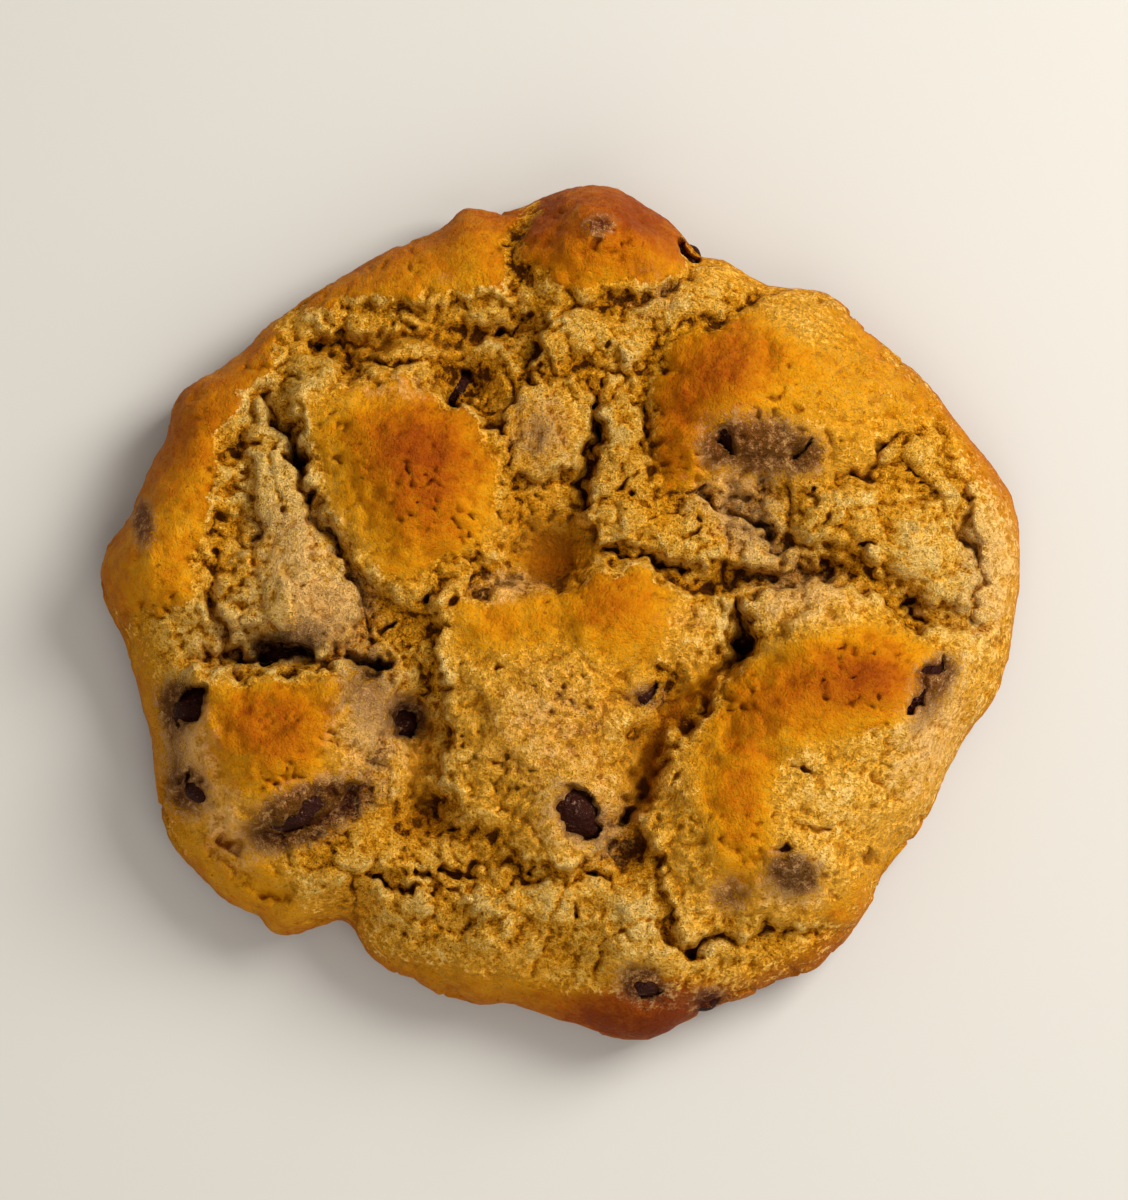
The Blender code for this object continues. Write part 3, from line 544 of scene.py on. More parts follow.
def patches(x: Array, y: Array, spots: Sequence[Patch]) -> Array:
    """Add up a set of soft oval spots.

    Args:
        x: Places along the plan.
        y: Places across it.
        spots: The spots.

    Returns:
        How strongly they cover each place.
    """
    total = np.zeros_like(x)
    for spot in spots:
        heading = math.radians(spot.bearing)
        along = (x - spot.x) * math.cos(heading) + (y - spot.y) * math.sin(heading)
        across = (y - spot.y) * math.cos(heading) - (x - spot.x) * math.sin(heading)
        total = total + spot.strength * np.exp(-(along / spot.length) ** 2 - (across / spot.width) ** 2)
    return total


# ---------------------------------------------------------------- the form of the dough

@dataclass
class Relief:
    """The crust's form over the plan, from its named plates, cracks and lumps.

    Attributes:
        reach: Distance from the middle to the rim where no lobe swells it.
        waist: Height at which the side is widest.
        shoulder: How far in from the rim the crust rounds over.
        floor_rim: Height of the torn floor between the plates, at the rim.
        floor_middle: Height of that floor in the middle.
        ragged: How far torn edges stray.
        crisp: Share of a plate's edge over which it falls where it has torn cleanly.
        soft: Share of the edge that is added where it has slumped.
        slab: How far apart the large lumps of broken crumb are.
        slab_rise: How far they stand at different levels.
        ledge_gap: How much the crumb rises from one ledge to the next.
    """

    reach: float = 40.0
    waist: float = 3.9
    shoulder: float = 9.0
    floor_rim: float = 10.8
    floor_middle: float = 13.5
    ragged: float = 0.9
    crisp: float = 0.42
    soft: float = 1.9
    slab: float = 5.2
    slab_rise: float = 0.75
    ledge_gap: float = 0.8

    def reach_of(self, bearing: Array) -> Array:
        """Find the rim.

        Args:
            bearing: Bearings in degrees.

        Returns:
            The distance from the middle to the rim at each bearing.
        """
        reach = np.full_like(bearing, self.reach)
        for lobe in OUTLINE:
            off = (bearing - lobe.bearing + 180.0) % 360.0 - 180.0
            reach = reach + lobe.rise * np.exp(-(off / lobe.half_width) ** 2)
        return reach

    def torn_place(self, x: Array, y: Array) -> tuple[Array, Array]:
        """Shift each place a little, so that whatever is drawn there gets a ragged edge.

        Args:
            x: Places along the cookie.
            y: Places across it.

        Returns:
            The shifted places.
        """
        torn_x = x + self.ragged * wander(x, y, 2.6, 1) + 0.55 * wander(x, y, 1.2, 21)
        torn_y = y + self.ragged * wander(x, y, 2.6, 2) + 0.55 * wander(x, y, 1.2, 22)
        return torn_x + 0.3 * wander(x, y, 0.6, 23), torn_y + 0.3 * wander(x, y, 0.6, 24)

    def scallop(self, x: Array, y: Array) -> Array:
        """Rounded points and sharp bites along a torn edge, as the grains of crumb leave them."""
        return 0.8 * (clumps(x, y, 2.1, 41) - 0.6) + 0.45 * (clumps(x, y, 1.0, 42) - 0.6)

    def plates(self, x: Array, y: Array) -> tuple[Array, Array, Array]:
        """Work out what the raised plates do at each place.

        Args:
            x: Places along the cookie.
            y: Places across it.

        Returns:
            How far the crust is raised, how much skin covers it from 0 to 1, and how baked it is.
        """
        torn_x, torn_y = self.torn_place(x, y)
        bites = self.scallop(x, y)
        blend = self.crisp + self.soft * smooth_step(1.2 * wander(x, y, 8.0, 47) + 0.3)
        raised, skin = np.zeros_like(x), np.zeros_like(x)
        baked, share = np.full_like(x, 0.012), np.full_like(x, 0.08)
        for plate in PLATES:
            into = distance_inside(torn_x, torn_y, plate.corners) + bites
            crown = plate.crown * (1.0 - np.exp(-(np.clip(into, 0.0, None) / 5.5) ** 2))
            here = smooth_step(into / (plate.edge * blend) + 0.5)
            raised = np.maximum(raised, plate.level * here + crown)
            cover = smooth_step(into / 1.6 + 0.1)
            skin = np.maximum(skin, cover * plate.cover.value)
            baked = baked + cover * plate.baked
            share = share + cover
        # The pale patches take browning away: partly a paler crust, partly painted light.
        baked = baked / share + patches(x, y, BROWNED) - 0.5 * patches(x, y, PALE_AND_LIT)
        return raised, skin * (0.5 + 0.5 * smooth_step(baked / 0.35)), baked

    def crust_height(self, x: Array, y: Array) -> Array:
        """Find the height of the crust over the resting plane, before its rim rounds over.

        Args:
            x: Places along the cookie.
            y: Places across it.

        Returns:
            A height for each place.
        """
        share = np.hypot(x, y) / self.reach_of(np.degrees(np.arctan2(y, x)))
        height = self.floor_rim + (self.floor_middle - self.floor_rim) * (1.0 - share ** 2)
        raised, skin, _ = self.plates(x, y)
        rough = (1.0 - skin) * (1.0 - np.clip(patches(x, y, SMOOTH), 0.0, 1.0))
        height = height + raised + 0.35 * wander(x, y, 6.0, 4)
        height = height - self.pits(x, y, skin) + rough * self.rubble(x, y)
        for lump in LUMPS:
            away = ((x - lump.x) ** 2 + (y - lump.y) ** 2) / lump.radius ** 2
            height = height + lump.rise * np.exp(-away)
        torn_x, torn_y = self.torn_place(x, y)
        bites = 0.6 * self.scallop(x, y)
        wider = 1.0 + 0.45 * wander(x, y, 3.1, 71)
        deeper = np.clip(0.75 + 0.6 * wander(x, y, 3.7, 72), 0.15, 1.2)
        for crack in CRACKS + FINE_CRACKS:
            away = distance_to_line(torn_x, torn_y, crack.points) + bites * min(1.0, crack.half_width)
            away = away / (crack.half_width * wider)
            slit = np.exp(-(np.clip(away, 0.0, None) / 0.72) ** 3)
            height = height - crack.depth * deeper * (0.35 * np.exp(-away ** 2) + 0.75 * slit)
        for hole in HOLES:
            heading = math.radians(hole.bearing)
            right, up = torn_x - hole.x, torn_y - hole.y
            along = np.abs(right * math.cos(heading) + up * math.sin(heading)) / hole.length
            across = np.abs(up * math.cos(heading) - right * math.sin(heading)) / hole.width
            height = height - 0.8 * hole.strength * smooth_step((1.25 - along - across) / 0.7)
        return height

    def ledges(self, x: Array, y: Array, size: float, step: float, seed: int) -> Array:
        """Tear crumb in ragged ledges, one over another.

        Args:
            x: Places along the cookie.
            y: Places across it.
            size: How far apart the rises of the crumb are.
            step: How far one ledge stands over the next.
            seed: Which of the many tears to use.

        Returns:
            A height for each place.
        """
        lobes = 0.30 * clumps(x, y, 1.5, seed + 1) + 0.18 * clumps(x, y, 0.8, seed + 2)
        level = wander(x, y, size, seed) + 0.4 * wander(x, y, 0.45 * size, seed + 3) + lobes
        level = level / self.ledge_gap
        whole = np.floor(level)
        return step * (whole + smooth_step((level - whole - 0.86) / 0.14) + 0.3 * (level - whole))

    def rubble(self, x: Array, y: Array) -> Array:
        """Raise the broken lumps that the tearing has left, in ledges with ragged edges.

        Args:
            x: Places along the cookie.
            y: Places across it.

        Returns:
            A height for each place.
        """
        torn_x, torn_y = self.torn_place(x, y)
        near_x, near_y = x + 0.45 * (torn_x - x), y + 0.45 * (torn_y - y)
        lump, gap = broken(np.stack((near_x, near_y), axis=1), self.slab, 3, 0.05)
        parted = 0.1 + 0.6 * smooth_step(1.8 * wander(x, y, 5.5, 46) + 0.2)
        lumpy = 0.9 * smooth_step(1.6 * wander(x, y, 8.0, 49) + 0.4)
        large = smooth_step((clumps(near_x, near_y, 5.4, 4) - 0.35) / 0.4)
        return (
            self.slab_rise * lump - parted * gap + lumpy * (large - 0.6)
            + self.ledges(near_x, near_y, 5.6, 0.45, 81) + self.ledges(near_x, near_y, 3.0, 0.22, 91) - 0.3)

    def pits(self, x: Array, y: Array, skin: Array) -> Array:
        """Open the small ragged pits that steam has left, in loose groups.

        Args:
            x: Places along the cookie.
            y: Places across it.
            skin: How much skin covers each place, from 0 to 1.

        Returns:
            A depth for each place.
        """
        torn_x, torn_y = x + 0.7 * wander(x, y, 0.9, 51), y + 0.7 * wander(x, y, 0.9, 52)
        nearness = clumps(torn_x, 1.5 * torn_y, 1.9, 53)
        grouped = smooth_step(2.0 * wander(x, y, 4.5, 54) + 0.6 * wander(x, y, 1.6, 55) - 0.35)
        return 0.9 * smooth_step((nearness - 0.9) / 0.07) * grouped * (0.5 + 0.5 * skin)

    def top_height(self, x: Array, y: Array) -> Array:
        """Find the top of the dough, rounded over to the waist at the rim.

        Args:
            x: Places along the cookie.
            y: Places across it.

        Returns:
            A height for each place.
        """
        in_from_rim = self.reach_of(np.degrees(np.arctan2(y, x))) - np.hypot(x, y)
        turn = 1.0 - np.clip(in_from_rim / self.shoulder, 0.0, 1.0)
        return self.waist + (self.crust_height(x, y) - self.waist) * np.sqrt(1.0 - turn ** 2)


# ---------------------------------------------------------------- meshes by hand

def deselect() -> None:
    """Leave edit mode and let go of every object."""
    if bpy.context.object and bpy.context.object.mode != "OBJECT":
        bpy.ops.object.mode_set(mode="OBJECT")
    bpy.ops.object.select_all(action="DESELECT")


def pick(piece: bpy.types.Object) -> None:
    """Make one object the only selected and active one.

    Args:
        piece: The object.
    """
    deselect()
    piece.select_set(True)
    bpy.context.view_layer.objects.active = piece


def coordinates(mesh: bpy.types.Mesh) -> Array:
    """Read a mesh's points.

    Args:
        mesh: The mesh.

    Returns:
        Their places in millimetres, one row each.
    """
    flat = np.empty(len(mesh.vertices) * 3, np.float32)
    mesh.vertices.foreach_get("co", flat)
    return flat.reshape(-1, 3).astype(float) / MM


def move_points(mesh: bpy.types.Mesh, points: Array) -> None:
    """Put a mesh's points at new places, given in millimetres."""
    mesh.vertices.foreach_set("co", (points * MM).astype(np.float32).ravel())
    mesh.update()


def point_normals(mesh: bpy.types.Mesh) -> Array:
    """Read which way a mesh faces at its points.

    Args:
        mesh: The mesh.

    Returns:
        The outward direction at each point.
    """
    flat = np.empty(len(mesh.vertices) * 3, np.float32)
    mesh.vertex_normals.foreach_get("vector", flat)
    return flat.reshape(-1, 3).astype(float)


def edge_ends(mesh: bpy.types.Mesh) -> Array:
    """Read a mesh's edges.

    Args:
        mesh: The mesh.

    Returns:
        The two point numbers of each edge.
    """
    flat = np.empty(len(mesh.edges) * 2, np.int32)
    mesh.edges.foreach_get("vertices", flat)
    return flat.reshape(-1, 2)


def store(mesh: bpy.types.Mesh, name: str, values: Array) -> None:
    """Keep one number for each point of a mesh, for its finish to read."""
    kept = mesh.attributes.get(name) or mesh.attributes.new(name, "FLOAT", "POINT")
    kept.data.foreach_set("value", values.astype(np.float32))


def relaxed(points: Array, edges: Array, rounds: int) -> Array:
    """Draw each point towards its neighbours.

    Args:
        points: Their places.
        edges: The point numbers of each edge.
        rounds: How often to do it.

    Returns:
        The new places.
    """
    count = np.bincount(edges.ravel(), minlength=len(points))[:, None]
    for _ in range(rounds):
        total = np.empty_like(points)
        for axis in range(points.shape[1]):
            total[:, axis] = (
                np.bincount(edges[:, 0], points[edges[:, 1], axis], len(points))
                + np.bincount(edges[:, 1], points[edges[:, 0], axis], len(points)))
        points = 0.4 * points + 0.6 * total / np.maximum(count, 1)
    return points


def within_box(points: Array) -> Array:
    """Hold points, in millimetres, inside the box of the solids."""
    low, high = (np.array(corner) / MM for corner in CAD_BOX)
    return np.clip(points, low, high)


# ---------------------------------------------------------------- finishes

class Wire:
    """One number (or colour) flowing between nodes, on which sums can be written."""

    def __init__(self, graph: "Graph", socket: bpy.types.NodeSocket) -> None:
        """Hold a node's output socket and the graph it is in."""
        self.graph = graph
        self.socket = socket

    def _sum(self, operation: str, first: Any, second: Any = 0.0) -> "Wire":
        """Add one Math node."""
        return self.graph.node("ShaderNodeMath", {"operation": operation}, {0: first, 1: second})

    def __add__(self, other: Any) -> "Wire":
        """Add."""
        return self._sum("ADD", self, other)

    __radd__ = __add__

    def __sub__(self, other: Any) -> "Wire":
        """Take away."""
        return self._sum("SUBTRACT", self, other)

    def __rsub__(self, other: Any) -> "Wire":
        """Take this away from a number."""
        return self._sum("SUBTRACT", other, self)

    def __mul__(self, other: Any) -> "Wire":
        """Multiply."""
        return self._sum("MULTIPLY", self, other)

    __rmul__ = __mul__

    def limit(self) -> "Wire":
        """Keep between 0 and 1."""
        return self.graph.node("ShaderNodeClamp", {}, {"Value": self})

    def rise(self, low: float, high: float) -> "Wire":
        """Go smoothly from 0 to 1.

        Args:
            low: Where this is when the rise starts.
            high: Where this is when the rise ends.

        Returns:
            The rise.
        """
        return self.graph.node(
            "ShaderNodeMapRange", {"interpolation_type": "SMOOTHSTEP"},
            {"Value": self, "From Min": low, "From Max": high})


Colour = tuple[float, float, float]


def srgb(red: int, green: int, blue: int) -> Colour:
    """Turn a screen colour into a scene colour.

    Args:
        red: Its red, from 0 to 255.
        green: Its green.
        blue: Its blue.

    Returns:
        The three channels from 0 to 1, with the screen's curve undone.
    """
    def bright(value: int) -> float:
        """Undo the screen's curve for one channel."""
        share = value / 255.0
        return share / 12.92 if share <= 0.04045 else ((share + 0.055) / 1.055) ** 2.4
    return bright(red), bright(green), bright(blue)


class Graph:
    """The node graph of one material."""

    def __init__(self, name: str) -> None:
        """Start an empty material with its output and its shader.

        Args:
            name: The material's name.
        """
        self.material = bpy.data.materials.new(name)
        self.material.use_nodes = True
        self.tree = self.material.node_tree
        self.shader = self.tree.nodes["Principled BSDF"]
        self.place = self.node("ShaderNodeTexCoord", {}, {}, "Object")

    def plug(self, socket: bpy.types.NodeSocket, value: Any) -> None:
        """Link a wire to a socket, or set the socket to a constant.

        Args:
            socket: The input socket.
            value: A wire, a number, a colour or a vector.
        """
        if isinstance(value, Wire):
            self.tree.links.new(value.socket, socket)
        elif isinstance(value, tuple) and len(value) == 3 and socket.type == "RGBA":
            socket.default_value = (*value, 1.0)
        else:
            socket.default_value = value

    def node(self, kind: str, settings: dict, inputs: dict, output: Any = 0) -> Wire:
        """Add a node.

        Args:
            kind: The node's type.
            settings: Its options, set first.
            inputs: Values or wires for its sockets, by name or number.
            output: Which output to hand on.

        Returns:
            The chosen output as a wire.
        """
        made = self.tree.nodes.new(kind)
        for name, value in settings.items():
            setattr(made, name, value)
        for name, value in inputs.items():
            self.plug(made.inputs[name], value)
        return Wire(self, made.outputs[output])

    def kept(self, name: str) -> Wire:
        """A number kept on the mesh's points."""
        return self.node("ShaderNodeAttribute", {"attribute_name": name}, {}, "Fac")

    def noise(self, size: float, detail: float = 2.0, roughness: float = 0.55) -> Wire:
        """Soft unevenness round 0, a few of the given size (millimetres) apart."""
        return self.node("ShaderNodeTexNoise", {}, {
            "Vector": self.place, "Scale": 1.0 / (size * MM), "Detail": detail, "Roughness": roughness}) - 0.5

    def shaken(self, size: float, reach: float) -> Wire:
        """Move places about at random.

        Args:
            size: How far apart the moves differ, in millimetres.
            reach: How far a place moves at most, in millimetres.

        Returns:
            The moved places.
        """
        moved = self.node("ShaderNodeTexNoise", {}, {
            "Vector": self.place, "Scale": 1.0 / (size * MM), "Detail": 2.0}, "Color")
        return self.node("ShaderNodeVectorMath", {"operation": "MULTIPLY_ADD"}, {
            0: moved, 1: (2 * reach * MM,) * 3, 2: self.place})

    def cells(self, place: Wire, size: float) -> Wire:
        """Distance, in cells, to the nearest of many middles a size (millimetres) apart."""
        return self.node(
            "ShaderNodeTexVoronoi", {}, {"Vector": place, "Scale": 1.0 / (size * MM)}, "Distance")

    def facets(self, place: Wire, size: float) -> tuple[Wire, Wire]:
        """Pack flat-sided grains together.

        Args:
            place: Where to look.
            size: How far apart the grains are, in millimetres.

        Returns:
            The height of each grain's own slanting face round 0, and a tone round 0 that each grain keeps.
        """
        made = self.tree.nodes.new("ShaderNodeTexVoronoi")
        self.plug(made.inputs["Vector"], place)
        made.inputs["Scale"].default_value = 1.0 / (size * MM)
        own, middle = Wire(self, made.outputs["Color"]), Wire(self, made.outputs["Position"])
        off = self.node("ShaderNodeVectorMath", {"operation": "SUBTRACT"}, {0: place, 1: middle})
        slant = self.node("ShaderNodeVectorMath", {"operation": "SUBTRACT"}, {0: own, 1: (0.5, 0.5, 0.5)})
        rise = self.node("ShaderNodeVectorMath", {"operation": "DOT_PRODUCT"}, {0: off, 1: slant}, "Value")
        tone = self.node("ShaderNodeSeparateColor", {}, {"Color": own}) - 0.5
        return rise * (1.0 / (size * MM)) + 0.2 * tone, tone

    def mix(self, share: Any, first: Any, second: Any, blend: str = "MIX") -> Wire:
        """Blend two colours.

        Args:
            share: How much of the second to take.
            first: The first colour.
            second: The second colour.
            blend: The way of blending.

        Returns:
            The blended colour.
        """
        made = self.tree.nodes.new("ShaderNodeMix")
        made.data_type = "RGBA"
        made.blend_type = blend
        made.clamp_factor = True
        for socket, value in zip((made.inputs[0], made.inputs[6], made.inputs[7]), (share, first, second)):
            self.plug(socket, value)
        return Wire(self, made.outputs[2])

    def ramp(self, share: Wire, stops: Sequence[tuple[float, Colour]]) -> Wire:
        """Read a colour off a run of colour stops.

        Args:
            share: Where to read.
            stops: The places and colours of the stops.

        Returns:
            The colour there.
        """
        made = self.tree.nodes.new("ShaderNodeValToRGB")
        ramp = made.color_ramp
        while len(ramp.elements) < len(stops):
            ramp.elements.new(0.5)
        for element, (place, colour) in zip(ramp.elements, stops):
            element.position = place
            element.color = (*colour, 1.0)
        self.plug(made.inputs["Fac"], share)
        return Wire(self, made.outputs["Color"])

    def bump(self, height: Wire, depth: float, under: Wire | None = None) -> Wire:
        """Tilt the surface as a height does.

        Args:
            height: The height.
            depth: How deep it is, in millimetres.
            under: Another tilt, on which this one lies.

        Returns:
            The tilted direction.
        """
        inputs: dict = {"Height": height, "Distance": depth * MM, "Strength": 1.0}
        if under:
            inputs["Normal"] = under
        return self.node("ShaderNodeBump", {}, inputs)

    def dress(self, **sockets: Any) -> bpy.types.Material:
        """Plug the shader's sockets.

        Args:
            sockets: Values or wires, by the sockets' names with _ for a space.

        Returns:
            The finished material.
        """
        for name, value in sockets.items():
            self.plug(self.shader.inputs[name.replace("_", " ")], value)
        return self.material


@dataclass(frozen=True)
class DoughFinish:
    """Baked dough: a skin that goes from tan to deep brown, torn crumb, and chocolate under thin dough, with
    painted shade in its creases, pores and lows and painted light on the crumb's tops and on lit patches.
    """

    tan: Colour = srgb(220, 157, 46)
    gold: Colour = srgb(213, 142, 10)
    orange: Colour = srgb(192, 113, 2)
    russet: Colour = srgb(170, 86, 2)
    brown: Colour = srgb(138, 58, 2)
    # The crumb's colours from light to dark, read by height: the cream and the lit top are painted highlight
    # and painted light, and the low and the pit are painted shade, over the crumb's own tan and gold.
    cream_highlight: Colour = srgb(255, 206, 112)
    crumb_lit_top: Colour = srgb(255, 190, 72)
    crumb_side: Colour = srgb(242, 165, 36)
    crumb_gold: Colour = srgb(222, 144, 14)
    crumb_low_shade: Colour = srgb(190, 117, 8)
    pit_shade: Colour = srgb(112, 62, 6)
    # Pale flour colour, also used as painted light where the floury patches stand for it.
    flour_and_light: Colour = srgb(240, 186, 112)
    # Painted shade: a tint multiplied into the colour down in creases.
    crease_shade: Colour = (0.66, 0.54, 0.30)
    shade: Colour = (0.62, 0.51, 0.26)
    film: Colour = srgb(116, 76, 48)
    film_dark: Colour = srgb(60, 24, 12)
    film_red: Colour = srgb(92, 48, 26)
    film_pale: Colour = srgb(180, 132, 78)

    def make(self) -> bpy.types.Material:
        """Build the material.

        Returns:
            The material.
        """
        graph = Graph("baked_dough")
        torn, browned, floury_and_lit, dim = (graph.kept(name) for name in ("torn", "browned", "floury_and_lit", "dim"))
        film, crease_shade, raised = FILM_RANGE * graph.kept("film"), graph.kept("crease_shade"), graph.kept("raised")
        coarse, middle = graph.noise(3.0, 3.0), graph.noise(1.2, 3.0)
        fine, dust = graph.noise(0.5, 3.0, 0.65), graph.noise(0.18, 2.0, 0.7)
        shaken = graph.shaken(0.45, 0.35)
        flake, flake_tone = graph.facets(shaken, 0.85)
        chaff, chaff_tone = graph.facets(shaken, 0.42)
        grain = middle + 2.0 * fine + 0.4 * flake

        level = browned + 0.6 * coarse + 0.5 * middle + 0.8 * fine + 0.5 * dust + 0.10 * chaff_tone
        skin = graph.ramp(level, (
            (0.0, self.tan), (0.24, self.gold), (0.5, self.orange), (0.76, self.russet), (1.0, self.brown)))
        # The crumb's colour is read off its height. It has painted shade in its lows and creases and painted
        # light and cream highlights on its tops, over the crumb's own pale tan.
        height = raised + 0.8 * coarse + 0.6 * middle + 0.7 * fine + 0.5 * dust + 0.18 * flake_tone
        height = height + 0.1 * chaff_tone - 0.35 * crease_shade
        crumb = graph.ramp(height, (
            (0.0, self.pit_shade), (0.14, self.crumb_low_shade), (0.34, self.crumb_gold), (0.54, self.crumb_side),
            (0.8, self.crumb_lit_top), (1.15, self.cream_highlight)))
        bared = (torn + (1.6 * fine + middle) * torn.rise(0.0, 0.3)).rise(0.2, 0.7)
        colour = graph.mix(bared, skin, crumb)
        uneven = 1.2 * middle + fine
        # Pale flour dust, which also serves as painted light where the floury patches lighten lit places.
        dusted_and_lit = (floury_and_lit + uneven * floury_and_lit.rise(0.0, 0.3)).rise(0.12, 0.8) * 0.8
        colour = graph.mix(dusted_and_lit, colour, self.flour_and_light)

        # Painted shade in the creases: the crease shade tint is multiplied in where the surface folds inward.
        sunk_shade = (crease_shade + 0.1 - 1.2 * grain).rise(0.25, 1.15)
        colour = graph.mix(sunk_shade * 0.85, colour, graph.mix(1.0, colour, self.crease_shade, "MULTIPLY"))
        # Painted shade: the shade tint is multiplied in where the surface lies low and over the shade
        # patches.
        shaded = ((0.4 - raised).rise(0.0, 0.5) * 0.65 + dim * 0.9).limit()
        colour = graph.mix(shaded, colour, graph.mix(1.0, colour, self.shade, "MULTIPLY"))
        # Painted shade in the pores: they are darkened with the pit shade colour, as well as dented by the
        # bump below.
        pores = (0.1 + 0.9 * fine - graph.cells(graph.shaken(0.4, 0.25), 1.5)).rise(0.0, 0.05)
        pores = pores * (graph.noise(2.6) - 0.03).rise(0.0, 0.06)
        colour = graph.mix(pores * 0.7, colour, self.pit_shade)
        speckle = (film + (1.6 * fine + 1.3 * dust + middle) * film.rise(0.0, 0.5)).rise(0.18, 0.8)
        veil = graph.ramp(0.72 + 2.6 * middle + 1.6 * fine + 1.4 * dust - 0.42 * film, (
            (0.0, self.film_dark), (0.2, self.film_red), (0.45, self.film), (0.85, self.film_pale)))
        colour = graph.mix(speckle * 0.88, colour, veil)
        tone = 1.0 + (1.1 * fine + 0.9 * dust + 0.14 * flake_tone + 0.12 * chaff_tone) * (0.7 + 0.3 * torn)
        colour = graph.mix(1.0, colour, tone, "MULTIPLY")

        depth = 0.34 + 0.66 * torn
        normal = graph.bump((grain - 0.4 * pores) * depth, 0.4)
        normal = graph.bump((0.45 * chaff + 2.2 * dust + 0.8 * fine) * depth, 0.25, normal)
        return graph.dress(
            Base_Color=colour, Roughness=0.52 + 0.2 * torn + 0.6 * fine, Normal=normal,
            Specular_IOR_Level=0.045)


@dataclass(frozen=True)
class ChocolateFinish:
    """Baked dark chocolate: dull brown, dusted with flour and fat bloom."""

    base: Colour = srgb(46, 17, 9)
    bloom: Colour = srgb(128, 92, 72)

    def make(self) -> bpy.types.Material:
        """Build the material.

        Returns:
            The material.
        """
        graph = Graph("chocolate")
        cloud, dust = graph.noise(1.6, 3.0), graph.noise(0.3, 2.0, 0.7)
        colour = graph.mix((cloud * 1.6 + dust * 3.4 - 0.12).rise(0.15, 0.9), self.base, self.bloom)
        normal = graph.bump(1.2 * graph.noise(0.8, 3.0, 0.65) + 0.4 * dust, 0.6)
        return graph.dress(
            Base_Color=colour, Roughness=0.45 + 0.8 * dust, Normal=normal, Specular_IOR_Level=0.07)


@dataclass(frozen=True)
class FloorFinish:
    """A plain pale studio floor."""

    colour: Colour = (0.57, 0.55, 0.51)

    def make(self) -> bpy.types.Material:
        """Build the material.

        Returns:
            The material.
        """
        return Graph("floor").dress(Base_Color=self.colour, Roughness=0.8)


# ---------------------------------------------------------------- sub-assemblies

